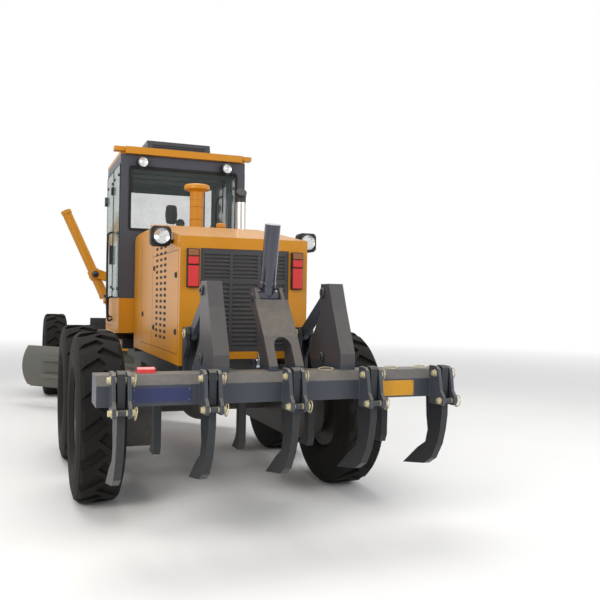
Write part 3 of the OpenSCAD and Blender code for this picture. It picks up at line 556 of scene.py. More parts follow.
def addPiece(name, finish, parts, body="rear_body", crease=32):
    verts, faces, count = [], [], 0
    for points, cells in parts:
        verts.append(points)
        faces += [[corner + count for corner in cell] for cell in cells]
        count += len(points)
    mesh = bpy.data.meshes.new(name)
    mesh.from_pydata((np.concatenate(verts) + offset).tolist(), [], faces)
    form = bmesh.new()
    form.from_mesh(mesh)
    bmesh.ops.remove_doubles(form, verts=form.verts, dist=1e-5)
    bmesh.ops.dissolve_degenerate(form, edges=form.edges, dist=1e-6)
    bmesh.ops.recalc_face_normals(form, faces=form.faces)
    form.to_mesh(mesh)
    form.free()
    mesh.shade_smooth()
    mesh.set_sharp_from_angle(angle=math.radians(crease))
    piece = bpy.data.objects.new(name, mesh)
    bpy.context.scene.collection.objects.link(piece)
    mesh.materials.append(finishes[finish])
    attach(piece, body)
    return piece


# Hood: side vents as flat dark plates of painted shade, panel seams and latches, then its cap and the collars of
# the pipes

hoodDetail = {
    "side": 0.49, "proud": 0.0006,
    "ventX": (-0.787, -0.613, -0.429), "ventTop": 1.955, "ventStep": 0.048, "ventRows": 16,
    "ventHalf": (0.052, 0.0115), "seamHalf": 0.002,
    "seams": [(-1.3, 1.14, -1.3, 1.9), (-0.22, 1.12, -0.22, 2.06), (0.36, 1.12, 0.36, 2.09),
              (-1.3, 1.14, 0.36, 1.14), (-1.3, 1.9, -0.22, 1.9)],
    "latches": [(-1.22, 1.3), (-1.22, 1.72), (-0.3, 1.3), (-0.3, 1.8), (0.28, 1.4)],
}


def dressHood(side, proud, ventX, ventTop, ventStep, ventRows, ventHalf, seamHalf, seams, latches):
    low, high = side - 0.002, side + proud
    width, height = ventHalf
    # each vent is a flat dark plate: painted shade standing in for the opening of a louvre
    ventShade = [plate((x - width, z - height), (x + width, z + height), height * 0.95, "xz", low, high, 0.0003, 3)
             for x in ventX for z in ventTop - np.arange(ventRows) * ventStep]
    lines = [slab(flat(x0 - seamHalf, z0 - seamHalf, x1 + seamHalf, z1 + seamHalf), "xz", low, high, 0.0003)
             for x0, z0, x1, z1 in seams]
    catches = []
    for x, z in latches:
        # a plate with a handle on it
        catches += [plate((x - 0.03, z - 0.022), (x + 0.03, z + 0.022), 0.008, "xz", low, side + 0.004, 0.0015),
                    plate((x - 0.012, z - 0.014), (x + 0.022, z + 0.014), 0.006, "xz", low, side + 0.009, 0.002)]
    addPiece("hoodVentShade", "blackAndShade", bothSides(ventShade))
    addPiece("hoodSeams", "blackAndShade", bothSides(lines))
    addPiece("hoodLatches", "plasticBlack", bothSides(catches))


dressHood(**hoodDetail)

hoodTop = {
    # name: finish, place, profile, steps round
    "fillerCap": ("machineYellow", (-0.02, -0.16, 2.186),
                  [(0, -0.01), (0.036, -0.01), (0.036, 0.02), (0.045, 0.024), (0.045, 0.05), (0.0387, 0.058),
                   (0, 0.058)], 20),
    "intakeCollar": ("blackAndShade", (0.28, 0, 2.2),
                     loop((0.0655, -0.02), (0.095, -0.008), (0.095, 0.004), (0.082, 0.012), (0.0655, 0.012)), 40),
    "intakeClamp": ("machineYellow", (0.28, 0, 2.49),
                    loop((0.0655, 0.0), (0.069, 0.0), (0.069, 0.018), (0.0655, 0.018)), 40),
    "stackCollar": ("blackAndShade", (0.15, -0.395, 2.19),
                    loop((0.0505, -0.02), (0.078, -0.01), (0.078, 0.004), (0.066, 0.012), (0.0505, 0.012)), 32),
}
for name, (finish, place, profile, steps) in hoodTop.items():
    addPiece(name, finish, [turned(profile, place, steps=steps)])

# Lamps: a bezel, a bright dish, a bulb and a lens, facing back or forward

lampDetail = {
    # name: centre of the left one's face, way it faces, dish radius
    "workLamp": ((-1.12, 0.585, 2.01), -1, 0.058),
    "cabLampRear": ((0.79, 0.43, 2.9), -1, 0.046),
    "cabLampFront": ((2.31, 0.43, 2.91), 1, 0.046),
}


def makeLamp(name, place, facing, r):
    axis = (facing, 0, 0)
    quarter = np.linspace(0, math.pi / 2, 9)
    bezel = turned(loop((r, -0.004), (r + 0.012, -0.004), (r + 0.012, 0.016), (r + 0.006, 0.022), (r, 0.02)),
                   place, axis, 36)
    bowl = [(r * math.sin(a), 0.019 - 0.017 * math.cos(a) ** 2) for a in quarter]
    bulb = [(0, 0.0), (0.009, 0.0), (0.009, 0.01), (0.006, 0.015), (0, 0.017)]
    dome = [(r * 0.995 * math.sin(a), 0.019 + 0.006 * math.cos(a)) for a in np.linspace(0, math.pi / 2, 7)]
    addPiece(name + "_bezel", "plasticBlack", [bezel])
    addPiece(name + "_dish", "mirrorSilver", [turned(bowl + [(r, -0.002), (0, -0.002)], place, axis, 32)])
    addPiece(name + "_bulb", "lampFrost", [turned(bulb, place, axis, 14)])
    addPiece(name + "_lens", "lampGlass", [turned(dome + [(r * 0.97, 0.0182), (0, 0.0235)], place, axis, 32)])


for name, ((x, y, z), facing, radius) in lampDetail.items():
    for side, way in sides:
        makeLamp(name + "_" + side, (x, y * way, z), facing, radius)

tailDetail = {"face": -1.39, "y": (0.362, 0.438), "deep": 0.01, "Amber": (1.856, 1.901), "Red": (1.796, 1.85)}


def dressTailLamps(face, y, deep, **lenses):
    for name, (low, high) in lenses.items():
        lens = plate((y[0], low), (y[1], high), 0.006, "yz", face - deep, face + 0.002, 0.003)
        addPiece("tailLens_" + name.lower(), "lamp" + name, bothSides([lens]))


dressTailLamps(**tailDetail)
print("hood and lamps dressed")

# Ripper: zinc-plated pins with their washers and ring clips

pinDetail = {
    "shanks": (-1.035, -0.518, 0.0, 0.518, 1.035), "pins": ((-2.425, 1.083), (-2.49, 0.91)),
    "radius": 0.0178, "cheek": 0.053, "end": 0.074, "ring": 0.036, "wire": 0.0035,
    "spares": ((-2.275, -0.268), (-2.27, -0.735), (-2.265, -0.955)), "spareHalf": (0.017, 0.05),
    "beamTop": 1.1005,
}


def makePins(shanks, pins, radius, cheek, end, ring, wire, spares, spareHalf, beamTop):
    head = [(0, cheek), (radius + 0.006, cheek), (radius + 0.006, cheek + 0.006), (radius, cheek + 0.0075),
            (radius, end), (radius - 0.002, end + 0.002), (0, end + 0.002)]
    middle = [(0.0, -0.0325), (radius, -0.0325), (radius, -0.0225), (0.0, -0.0225)]
    sleeves, clips = [], []
    for x, y, z in [(x, y, z) for y in shanks for x, z in pins]:
        sleeves += [turned(profile, (x, y, z), (0, way, 0), 20)
                    for profile in (head, middle) for way in (1, -1)]
        # a bar through the pin's end, and its ring snapped over the pin
        tip = y - end + 0.003
        clips.append(ringClip((x, tip, z + ring * 0.85), ring, wire, -0.15))
        clips.append(tube(np.linspace((x, tip, z - ring * 1.12), (x, tip, z + 0.03), 6), wire, 8))
    # spare clips that lie on the beam: an ellipse with one side raised
    angle = roundAngles(36)
    wide, long = spareHalf
    rise = beamTop + wire * 0.9 + 0.008 * (1 + np.sin(angle))
    clips += [closedWire(np.stack([x + wide * np.sin(angle), y + long * np.cos(angle), rise], 1), wire)
              for x, y in spares]
    addPiece("ripperPins", "zincGold", sleeves, "ripper_body")
    addPiece("ripperClips", "zincGold", clips, "ripper_body")


makePins(**pinDetail)

# Link pins: end caps and grease points at the ripper's towers and bracket

linkPins = {
    # body: finish, the caps' near and far faces, places
    "ripper_body": ("ripperSlate", (0.365, 0.475), [(-1.97, 1.16), (-1.97, 1.6)]),
    "rear_body": ("zincGold", (0.36, 0.48), [(-1.5, 0.86), (-1.5, 1.3)]),
}
linkCap, cylinderCap = (0.034, 0.007, 0.03, 0.01, 0.02, 0.008), (0.032, 0.006, 0.028, 0.009, 0.02, 0.007)
for body, (finish, ends, places) in linkPins.items():
    caps = [part for x, z in places for y, way in zip(ends, (-1, 1))
            for part in pinCap((x, y, z), (0, way, 0), linkCap)]
    addPiece("linkCaps_" + body, finish, bothSides(caps), body)
addPiece("cylinderPinCaps", "ripperSlate", bothSides(pinCap((-1.86, 0.1, 1.56), (0, 1, 0), cylinderCap)),
         "ripper_body")

# Red marker that lies on the beam

marker = {"at": (-2.235, 1.1005), "y": (0.805, 0.915),
          "profile": [(0.0, 0.0), (0.07, 0.0), (0.058, 0.022), (0.035, 0.034), (0.012, 0.022)]}
addPiece("beamMarker", "lampRed",
         [slab(np.add(marker["profile"], marker["at"]), "xz", *marker["y"], 0.004)], "ripper_body")
print("ripper dressed")

# Cab: rubber seals, side panes, glass fasteners and grab rails

cabDetail = {
    "side": 0.64, "rear": 0.85, "front": 2.25,
    "rearSeal": ((-0.56, 2.22), (0.56, 2.87)), "frontSeal": ((-0.47, 1.29), (0.47, 2.87)),
    "sealWidth": 0.026, "sealProud": 0.006, "paneRim": 0.009,
    "quarterPane": ((0.866, 1.548), (1.358, 2.89)), "doorPane": ((1.384, 1.548), (1.936, 2.888)),
    "knobs": [(0.94, 1.64), (0.94, 2.2), (0.94, 2.78), (1.29, 1.64), (1.29, 2.78)],
    "doorKnobs": [(1.46, 1.66), (1.46, 2.76), (1.86, 1.66), (1.86, 2.76)],
    "rail": [(1.352, 0.64, 1.32), (1.352, 0.69, 1.34), (1.352, 0.7, 1.75), (1.352, 0.7, 2.15),
             (1.352, 0.69, 2.22), (1.352, 0.64, 2.24)],
    "doorRail": [(1.405, 0.64, 1.34), (1.405, 0.676, 1.36), (1.405, 0.68, 1.44), (1.405, 0.676, 1.54),
                 (1.405, 0.64, 1.56)],
}


def dressCab(side, rear, front, rearSeal, frontSeal, sealWidth, sealProud, paneRim, quarterPane, doorPane,
             knobs, doorKnobs, rail, doorRail):
    def pane(box):
        return plate(*grown(box, -paneRim), 0.022, "xz", side + 0.0006, side + 0.0056, 0.001)

    def seal(box):
        return frameRing(*box, "xz", side - 0.002, side + 0.0075, paneRim)

    def fasteners(places):
        return [turned([(0, -0.006), (0.016, -0.006), (0.016, 0.004), (0.012, 0.009), (0, 0.01)],
                       (x, side + 0.006, z), (0, 1, 0), 18) for x, z in places]

    addPiece("windowSeals", "blackAndShade",
             [frameRing(*rearSeal, "yz", rear + 0.002, rear - sealProud, sealWidth),
              frameRing(*frontSeal, "yz", front - 0.002, front + sealProud, sealWidth),
              *bothSides([seal(quarterPane)])])
    addPiece("quarterPanes", "sideGlassAndGlare", bothSides([pane(quarterPane)]))
    addPiece("glassKnobs", "plasticBlack", bothSides(fasteners(knobs)))
    addPiece("cabRails", "plasticBlack", bothSides([tube(smoothPath(rail, 40), 0.011)]))
    trim = [seal(doorPane), *fasteners(doorKnobs), tube(smoothPath(doorRail, 30), 0.009, 10)]
    for name, way in sides:
        body = "door_" + name + "_body"
        addPiece("doorPane_" + name, "sideGlassAndGlare", onSide(way, [pane(doorPane)]), body)
        addPiece("doorSeal_" + name, "plasticBlack", onSide(way, trim), body)


dressCab(**cabDetail)

# Rear wiper

wiperDetail = {
    "foot": (0.838, -0.33, 2.205), "bend": [(0.835, -0.333, 2.4), (0.834, -0.34, 2.56)],
    "tip": (0.834, -0.405, 2.625), "blade": 0.4,
}


def makeWiper(foot, bend, tip, blade):
    arm = tube(smoothPath([foot, *bend, tip], 24), np.linspace(0.009, 0.006, 24), 8)
    middle, reach = np.add(tip, (0.01, 0, 0)), np.array([0, 0, blade * 0.45])
    strip = tube(np.linspace(middle - reach, middle + reach, 12), 0.006, 8)
    boss = turned([(0, -0.012), (0.022, -0.012), (0.022, 0.002), (0.014, 0.014), (0, 0.016)],
                  np.add(foot, (0.012, 0, 0)), (-1, 0, 0), 20)
    addPiece("rearWiper", "blackAndShade", [arm, strip, boss])


makeWiper(**wiperDetail)

# Roof: the cooler's vents as thin dark slabs of painted shade, whose rear face leans forward as it rises, and a
# seam

coolerDetail = {
    "slotZ": (3.075, 3.095, 3.115, 3.135, 3.155), "slotHalf": 0.005, "half": 0.28, "sideX": (1.22, 1.66),
}


def dressCooler(slotZ, slotHalf, half, sideX):
    # each slot is a thin dark slab: painted shade in place of an opening
    slotShade = []
    for z in slotZ:
        low, high = z - slotHalf, z + slotHalf
        rear = 1.12 + 0.04 * (z - 3.05) / 0.15
        slotShade.append(slab(flat(-half, low, half, high), "yz", rear - 0.003, rear + 0.004, 0.001))
        slotShade += bothSides([slab(flat(sideX[0], low, sideX[1], high), "xz", 0.33, 0.3365, 0.001)])
    addPiece("coolerVentShade", "blackAndShade", slotShade)
    addPiece("roofSeam", "blackAndShade", [slab(flat(0.9, -0.0015, 1.1, 0.0015), "xy", 3.0495, 3.0506, 0.0002)])


dressCooler(**coolerDetail)

# Console: a real wheel on its column, levers and their side boxes

consoleDetail = {
    "centre": (1.885, 0.0, 1.915), "lean": 35, "rim": 0.19, "grip": 0.014, "leversY": (0.18, 0.24, 0.3),
    "foot": [(1.965, 1.245), (2.115, 1.245), (2.115, 1.6), (2.1, 1.745), (1.985, 1.748), (1.97, 1.6)],
}


def makeConsole(centre, lean, rim, grip, leversY, foot):
    lean = math.radians(lean)
    axis, centre = np.array([-math.sin(lean), 0, math.cos(lean)]), np.array(centre)
    wheel = [turned(loop(*[(rim + grip * math.cos(a) - grip, grip * math.sin(a)) for a in roundAngles(12)]),
                    centre, axis, 48),
             turned([(0, -0.03), (0.038, -0.03), (0.038, 0.0), (0.03, 0.012), (0, 0.014)],
                    centre - axis * 0.01, axis, 24)]
    side, up = acrossFrom(axis)
    for turn in np.radians((90, 210, 330)):
        way = math.cos(turn) * side + math.sin(turn) * up
        spoke = np.linspace(centre - axis * 0.02 + way * 0.02, centre + way * (rim - 0.015), 8)
        wheel.append(tube(spoke, 0.009, 8))
    addPiece("steeringWheel", "plasticBlack", wheel)
    column = tube([(2.03, 0, 1.7), (1.97, 0, 1.79), centre - axis * 0.03], (0.035, 0.032, 0.026), 16)
    stand = addPiece("consoleStand", "plasticBlack", [column, slab(foot, "xz", -0.088, 0.088, 0.012)])
    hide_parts("steering_console")
    levers = [slab([(1.84, 1.56), (1.96, 1.52), (1.98, 1.62), (1.86, 1.66)], "xz", 0.14, 0.34, 0.008),
              tube([(1.93, 0.14, 1.6), (1.98, 0.07, 1.6)], 0.014, 10)]
    for y in leversY:
        levers.append(tube([(1.9, y, 1.62), (1.88, y, 1.74), (1.87, y, 1.8)], 0.005, 8))
        levers.append(turned([(0, -0.02), (0.012, -0.018), (0.016, 0.0), (0.012, 0.018), (0, 0.022)],
                             (1.87, y, 1.815), steps=14))
    addPiece("controlLevers", "plasticBlack", bothSides(levers))


makeConsole(**consoleDetail)

# Driver's seat: padded cushion and back on a sprung stand

seatDetail = {
    "cushion": ((1.09, -0.232, 1.566), (1.57, 0.232, 1.682)),
    "back": ((1.03, -0.22, 1.706), (1.132, 0.22, 2.292)),
    "seams": (-0.085, 0.085), "stand": ((1.16, -0.19), (1.49, 0.19)), "cap": 0.008,
}


def padForm(low, high, radius, crown, seams, face, steps=96):
    # a round-edged box whose wide faces swell by a product of parabolas, pulled in along the sewn seams
    points, faces = pillow(low, high, radius, steps)
    low, high = np.asarray(low), np.asarray(high)
    share = (points - (low + high) / 2) / ((high - low) / 2)
    wide = [k for k in range(3) if k != face]
    swell = np.prod(np.clip(1 - share[:, wide] ** 2, 0, 1), axis=1)
    pull = sum(np.exp(-((points[:, 1] - y) / 0.008) ** 2) for y in seams) * (np.abs(share[:, face]) > 0.5)
    points[:, face] += np.sign(share[:, face]) * (crown * swell ** 0.6 - crown - 0.007 * pull)
    points[:, wide] -= share[:, wide] * 0.01 * np.abs(np.prod(share[:, wide], axis=1, keepdims=True))
    return points, faces


def pointsOf(mesh):
    places = np.empty(len(mesh.vertices) * 3)
    mesh.vertices.foreach_get("co", places)
    return places.reshape(-1, 3)


def evaluated(piece):
    return piece.evaluated_get(bpy.context.evaluated_depsgraph_get())


def swelled(piece, face, seams, cap, voxel=0.007, pressure=4.0, frames=20):
    # evened by voxels, blown up as cloth with no gravity, each point moved by cap at most, then sewn in again
    even = piece.modifiers.new("even", "REMESH")
    even.mode, even.voxel_size, even.use_smooth_shade = "VOXEL", voxel, True
    mesh = bpy.data.meshes.new_from_object(evaluated(piece))
    piece.modifiers.clear()
    piece.data = mesh
    rest = pointsOf(mesh)
    cloth = piece.modifiers.new("swell", "CLOTH")
    cloth.settings.use_pressure, cloth.settings.uniform_pressure_force = True, pressure
    cloth.settings.effector_weights.gravity = 0.0
    cloth.point_cache.frame_end = frames
    for step in range(1, frames + 1):
        bpy.context.scene.frame_set(step)
    move = pointsOf(evaluated(piece).data) - rest
    far = np.linalg.norm(move, axis=1, keepdims=True)
    points = rest + move * np.minimum(1, cap / np.maximum(far, 1e-9))
    out = points[:, face] - (points[:, face].max() + points[:, face].min()) / 2
    sewn = sum(0.006 * np.exp(-((points[:, 1] - y) / 0.006) ** 2) for y in seams)
    points[:, face] -= np.sign(out) * (np.abs(out) > 0.02) * sewn
    piece.modifiers.clear()
    bpy.context.scene.frame_set(1)
    mesh.vertices.foreach_set("co", points.ravel())
    mesh.update()
    finer = piece.modifiers.new("finer", "SUBSURF")
    finer.levels = finer.render_levels = 1
    mean = float(np.minimum(far, cap).mean()) * 1000
    print("swelled", piece.name, len(points), "points, moved by", round(mean, 1), "mm")


def makeSeat(cushion, back, seams, stand, cap):
    base = addPiece("seatCushion", "seatCloth", [padForm(*cushion, 0.045, 0.018, seams, 2)], crease=60)
    rest = addPiece("seatBack", "seatCloth", [padForm(*back, 0.04, 0.016, seams, 0)], crease=60)
    folds = [plate(*grown(stand, -0.012 * (k % 2)), 0.03, "xy", 1.25 + k * 0.03, 1.279 + k * 0.03, 0.008)
             for k in range(8)]
    addPiece("seatStand", "plasticBlack", [*folds, plate(*grown(stand, 0.02), 0.02, "xy", 1.49, 1.56, 0.006)])
    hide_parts("driver_seat")
    swelled(base, 2, seams, cap)
    swelled(rest, 0, seams, cap)


makeSeat(**seatDetail)
print("cab dressed")

# Wheels: lock rings, nuts, hub caps and valves on each rim

wheelSize = {"track": 1.01, "height": 0.64, "nuts": 12, "hubBolts": 8}
wheelDetail = {
    # place: x of the axle, face of the disc, face of the hub, hub radius, nut circle
    # (the faces are measured out from the wheel's middle)
    "rear": (-0.769, -0.099, -0.04, 0.13, 0.2), "mid": (0.769, -0.099, -0.04, 0.13, 0.2),
    "front": (5.78, -0.03, 0.03, 0.11, 0.18),
}


def dressWheel(name, way, axle, disc, hub, r, circle, track, height, nuts, hubBolts):
    body, axis = "wheel_" + name + "_body", (0, way, 0)

    def at(out):
        return np.array([axle, way * (track + out), height])

    def around(out, radius, count):
        return [at(out) + radius * np.array([math.cos(turn), 0, math.sin(turn)]) for turn in roundAngles(count)]

    ring = turned(loop((0.29, 0.127), (0.297, 0.1275), (0.3, 0.124), (0.296, 0.112), (0.289, 0.108),
                       (0.286, 0.116)), at(0), axis, 72)
    lip = turned(loop((circle + 0.045, 0.0), (circle + 0.045, 0.008), (circle + 0.035, 0.013),
                      (r + 0.012, 0.013), (r + 0.008, 0.0)), at(disc), axis, 48)
    addPiece("lockRing_" + name, "rimBlack", [ring, lip], body)
    stud = [(0, 0.018), (0.01, 0.018), (0.01, 0.034), (0, 0.036)]
    bolts = [part for spot in around(disc + 0.013, circle, nuts)
             for part in (hexHead(spot, axis, 0.036, 0.02), turned(stud, spot, axis, 10))]
    addPiece("wheelNuts_" + name, "zincDull", bolts, body)
    cap = turned([(r * 0.62, 0.0), (r * 0.62, 0.018), (r * 0.52, 0.034), (r * 0.3, 0.042), (0, 0.044)],
                 at(hub), axis, 36)
    addPiece("hubCap_" + name, "lampRed", [cap], body)
    heads = [hexHead(spot, axis, 0.02, 0.011) for spot in around(hub, r * 0.82, hubBolts)]
    valve = [at(out) + [0, 0, up] for out, up in ((0.085, 0.288), (0.1, 0.272), (0.122, 0.262))]
    addPiece("hubBolts_" + name, "zincDull", [*heads, tube(valve, 0.0045, 8)], body)


for side, way in sides:
    for place, values in wheelDetail.items():
        dressWheel(side + "_" + place, way, *values, **wheelSize)
print("wheels dressed")

# Blade and circle: ring gear and edge bolts

bladeDetail = {
    "turn": -50, "circleX": 3.45, "teeth": 72, "root": 0.484, "base": 0.5005, "gearZ": (0.94, 0.99),
    "boltCount": 15, "boltReach": 1.75, "edgeTop": (-0.3624, 0.4), "edgeTilt": 33.4, "edgeThick": 0.018,
}


def dressBlade(turn, circleX, teeth, root, base, gearZ, boltCount, boltReach, edgeTop, edgeTilt, edgeThick):
    # the gear's teeth: a cosine round the circle, cut flat at its tops and roots
    angle = roundAngles(teeth * 8)
    inner = root + 0.01 + 0.01 * np.clip(1.6 * np.cos(angle * teeth), -1, 1)
    low, high = gearZ
    rings = [np.stack([circleX + radius * np.cos(angle), radius * np.sin(angle), np.full_like(angle, z)], 1)
             for radius, z in ((base, low), (inner, low), (inner, high), (base, high))]
    addPiece("ringGear", "bladeGrey", [grid(np.array(rings), down=True, around=True)], "circle_body")
    # the bolts: placed on a blade square to the frame, then turned about the circle's middle
    turn, tilt = math.radians(turn), math.radians(edgeTilt)
    swing = np.array([[math.cos(turn), math.sin(turn), 0], [-math.sin(turn), math.cos(turn), 0], [0, 0, 1]])
    normal, down = np.array([math.cos(tilt), 0, math.sin(tilt)]), np.array([math.sin(tilt), 0, -math.cos(tilt)])
    bolts = []
    for y in np.linspace(-boltReach, boltReach, boltCount):
        spot = np.array([edgeTop[0], y, edgeTop[1]]) + normal * edgeThick + down * 0.055
        bolts.append(turned([(0, -0.004), (0.017, -0.004), (0.017, 0.001), (0.012, 0.004), (0, 0.005)],
                            spot @ swing + [circleX, 0, 0], normal @ swing, 16))
    addPiece("edgeBolts", "bladeGrey", bolts, "blade_body")


dressBlade(**bladeDetail)
print("blade dressed")

# Ripper: blank plates riveted on the beam

plateDetail = {
    "face": -2.36, "thick": 0.0025,
    "left": ("plateBlue", (0.62, 0.945), (0.965, 1.03)),
    "right": ("plateYellow", (-0.86, 0.935), (-0.56, 1.035)),
}


def makePlates(face, thick, **blanks):
    rivet = [(0, -0.003), (0.005, -0.003), (0.005, 0.001), (0.003, 0.0025), (0, 0.003)]
    for name, (finish, low, high) in blanks.items():
        addPiece("blankPlate_" + name, finish,
                 [plate(low, high, 0.008, "yz", face - thick, face + 0.001, 0.0008)], "ripper_body")
        (y0, z0), (y1, z1) = grown((low, high), -0.012)
        rivets = [turned(rivet, (face - thick, y, z), (-1, 0, 0), 10) for y, z in flat(y0, z0, y1, z1)]
        addPiece("plateRivets_" + name, "zincDull", rivets, "ripper_body")


makePlates(**plateDetail)

# Cylinders' pipes: each (reach, out) of a line is along the cylinder and out from its skin

def ramLine(at, radius, line, wide, port, axis, steps):
    path = smoothPath([at(reach, radius + out) for reach, out in line], 40)
    return [tube(path, wide, 10)] + [turned(port, at(line[k][0], radius), axis, steps) for k in (0, -1)]


ramDetail = {
    "eye": (-1.756, 1.103), "trunnion": (-1.86, 1.56), "radius": 0.053,
    "line": [(0.13, 0.004), (0.13, 0.026), (0.16, 0.034), (0.3, 0.034), (0.43, 0.034), (0.465, 0.026),
             (0.465, -0.004)],
    "port": [(0, -0.012), (0.02, -0.012), (0.02, 0.01), (0.014, 0.012), (0.014, 0.02), (0, 0.022)],
}


def dressRipperRam(eye, trunnion, radius, line, port):
    x, z = unit(np.subtract(trunnion, eye))

    def at(reach, out=0.0):
        return trunnion[0] + x * reach + z * out, 0.0, trunnion[1] + z * reach - x * out

    glands = [gland(at(-0.15), (x, 0, z), radius, 0.005, 0.002, 0.034),
              gland(at(0.086), (x, 0, z), radius, 0.004, 0.002, 0.026)]
    addPiece("ripperGland", "cylinderBlue", glands, "ripper_barrel_body")
    addPiece("ripperRamLine", "blackAndShade", ramLine(at, radius, line, 0.009, port, (z, 0, -x), 16),
             "ripper_barrel_body")


dressRipperRam(**ramDetail)

# Hoses on the rear plate

hoseDetail = {
    "face": -1.43, "radius": 0.012,
    "ends": [(0.13, 1.03, 0.3, 0.985), (0.165, 1.075, 0.325, 1.04), (0.095, 0.985, 0.255, 0.945)],
}


def makeHoses(face, radius, ends):
    hoses, fittings = [], []
    collar = loop((radius, 0.018), (radius + 0.004, 0.018), (radius + 0.004, 0.04), (radius, 0.042))
    for k, (y0, z0, y1, z1) in enumerate(ends):
        near, far = face - 0.04, face - 0.085 - 0.012 * k
        path = [(face, y0, z0), (near, y0, z0), (far, y0 + 0.03, z0 - 0.04),
                (far - 0.01, (y0 + y1) / 2, z0 - 0.085), (far, y1 - 0.03, z1 - 0.03), (near, y1, z1),
                (face, y1, z1)]
        hoses.append(tube(smoothPath(path, 48), radius))
        for y, z in ((y0, z0), (y1, z1)):
            fittings.append(hexHead((face - 0.001, y, z), (-1, 0, 0), 0.034, 0.022))
            fittings.append(turned(collar, (face, y, z), (-1, 0, 0), 16))
    addPiece("rearHoses", "blackAndShade", bothSides(hoses))
    addPiece("hoseFittings", "zincDull", bothSides(fittings))


makeHoses(**hoseDetail)
print("ripper plates made")

# Tail lamps' lower housings, hood bracket and door catches

rearDetail = {
    "face": -1.39, "housing": ((0.355, 1.626), (0.445, 1.792)), "lens": ((0.362, 1.634), (0.438, 1.786)),
    "hook": [(0.315, 2.188), (0.415, 2.188), (0.415, 2.204), (0.388, 2.208), (0.38, 2.24), (0.35, 2.24),
             (0.342, 2.208), (0.315, 2.204)],
}


def dressRear(face, housing, lens, hook):
    addPiece("tailHousings", "plasticBlack", bothSides([plate(*housing, 0.008, "yz", face, -1.358, 0.004)]))
    addPiece("tailLens_low", "lampRed",
             bothSides([plate(*lens, 0.006, "yz", face - 0.009, face + 0.002, 0.003)]))
    bar = tube([(0.365, y, 2.228) for y in (0.345, 0.415)], 0.008)
    addPiece("hoodBracket", "machineYellow", [slab(hook, "xz", 0.372, 0.384, 0.002), bar])
    addPiece("doorCatches", "plasticBlack",
             bothSides([slab(flat(1.362, 2.632, 1.402, 2.716), "xz", 0.638, 0.668, 0.006)]))


dressRear(**rearDetail)

# The intake's flatter rain cap, with ribs on its pipe

rainCapDetail = {
    "place": (0.28, 0, 0), "pipe": 0.065, "ribs": (2.3, 2.42),
    "hat": [(0.09, 2.576), (0.117, 2.58), (0.122, 2.586), (0.122, 2.612), (0.118, 2.62), (0.108, 2.628),
            (0.06, 2.638), (0, 2.641)],
}


def makeRainCap(place, pipe, ribs, hat):
    body = turned([(0, 2.101), (pipe, 2.101), (pipe, 2.548), (pipe + 0.004, 2.56), *hat], place, steps=64)
    rings = [turned(loop((pipe, z - 0.004), (pipe + 0.003, z - 0.002), (pipe + 0.003, z + 0.002),
                         (pipe, z + 0.004)), place, steps=48) for z in ribs]
    cap = addPiece("rainCap", "machineYellow", [body, *rings])
    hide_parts("air_precleaner")


makeRainCap(**rainCapDetail)

# Cab inside, upper part: dark headliner, visor band, head rest and fan

linerDetail = {
    "ceiling": (2.868, 2.898), "panelsX": (0.95, 1.28, 1.61), "visor": ((-0.455, 2.788), (0.455, 2.872)),
    "head": ((1.04, 0.022, 2.322), (1.112, 0.15, 2.532)), "posts": (0.055, 0.117), "fan": (1.945, -0.19, 2.43),
}


def makeLiner(ceiling, panelsX, visor, head, posts, fan):
    low, high = ceiling
    board = [plate((0.9, -0.6), (1.95, 0.6), 0.04, "xy", low, high, 0.006)]
    board += [slab(flat(x, -0.5, x + 0.25, 0.5), "xy", low - 0.008, low + 0.002, 0.003) for x in panelsX]
    addPiece("headliner", "blackAndShade", board)
    addPiece("sunVisor", "blackAndShade", [plate(*visor, 0.02, "yz", 2.175, 2.195, 0.004)])
    rest = addPiece("headRest", "seatCloth", [padForm(*head, 0.028, 0.01, (), 0, steps=48)], crease=60)
    swelled(rest, 0, (), 0.005, voxel=0.005)
    addPiece("headRestPosts", "rodChrome",
             [tube([(1.078, y, 2.27), (1.076, y, 2.345)], 0.006, 10) for y in posts])
    cage = turned([(0, -0.03), (0.03, -0.028), (0.05, -0.01), (0.052, 0.004), (0.046, 0.012), (0, 0.016)],
                  fan, (-1, 0, 0), 28)
    path = smoothPath([(2.03, -0.18, 1.72), (1.99, -0.2, 2.1), (1.96, -0.19, fan[2] - 0.03)], 20)
    addPiece("cabFan", "plasticBlack", [cage, tube(path, 0.01, 10)])


makeLiner(**linerDetail)
print("cab lined")

# Front frame: nose bolts, tow pin, pipes with their clamps, and weld seams

frontDetail = {
    "nose": 6.56, "boltY": 0.3, "boltZ": (0.8, 1.1), "side": 0.14, "clampsX": (3.62, 4.2, 4.72),
    "pin": [(0, 0.765), (0.02, 0.765), (0.02, 0.945), (0.03, 0.947), (0.03, 0.96), (0.01, 0.966), (0, 0.966)],
    "pipe": [(3.48, 1.56), (4.1, 1.56), (4.84, 1.56), (5.06, 1.5), (5.3, 1.33), (5.48, 1.235),
             (5.64, 1.19)],
    # half seams: x, reach to each side, z
    "across": [(3.2345, 0.198, 1.772), (3.4655, 0.198, 1.772), (6.4795, 0.138, 0.985), (6.4795, 0.138, 1.195)],
}


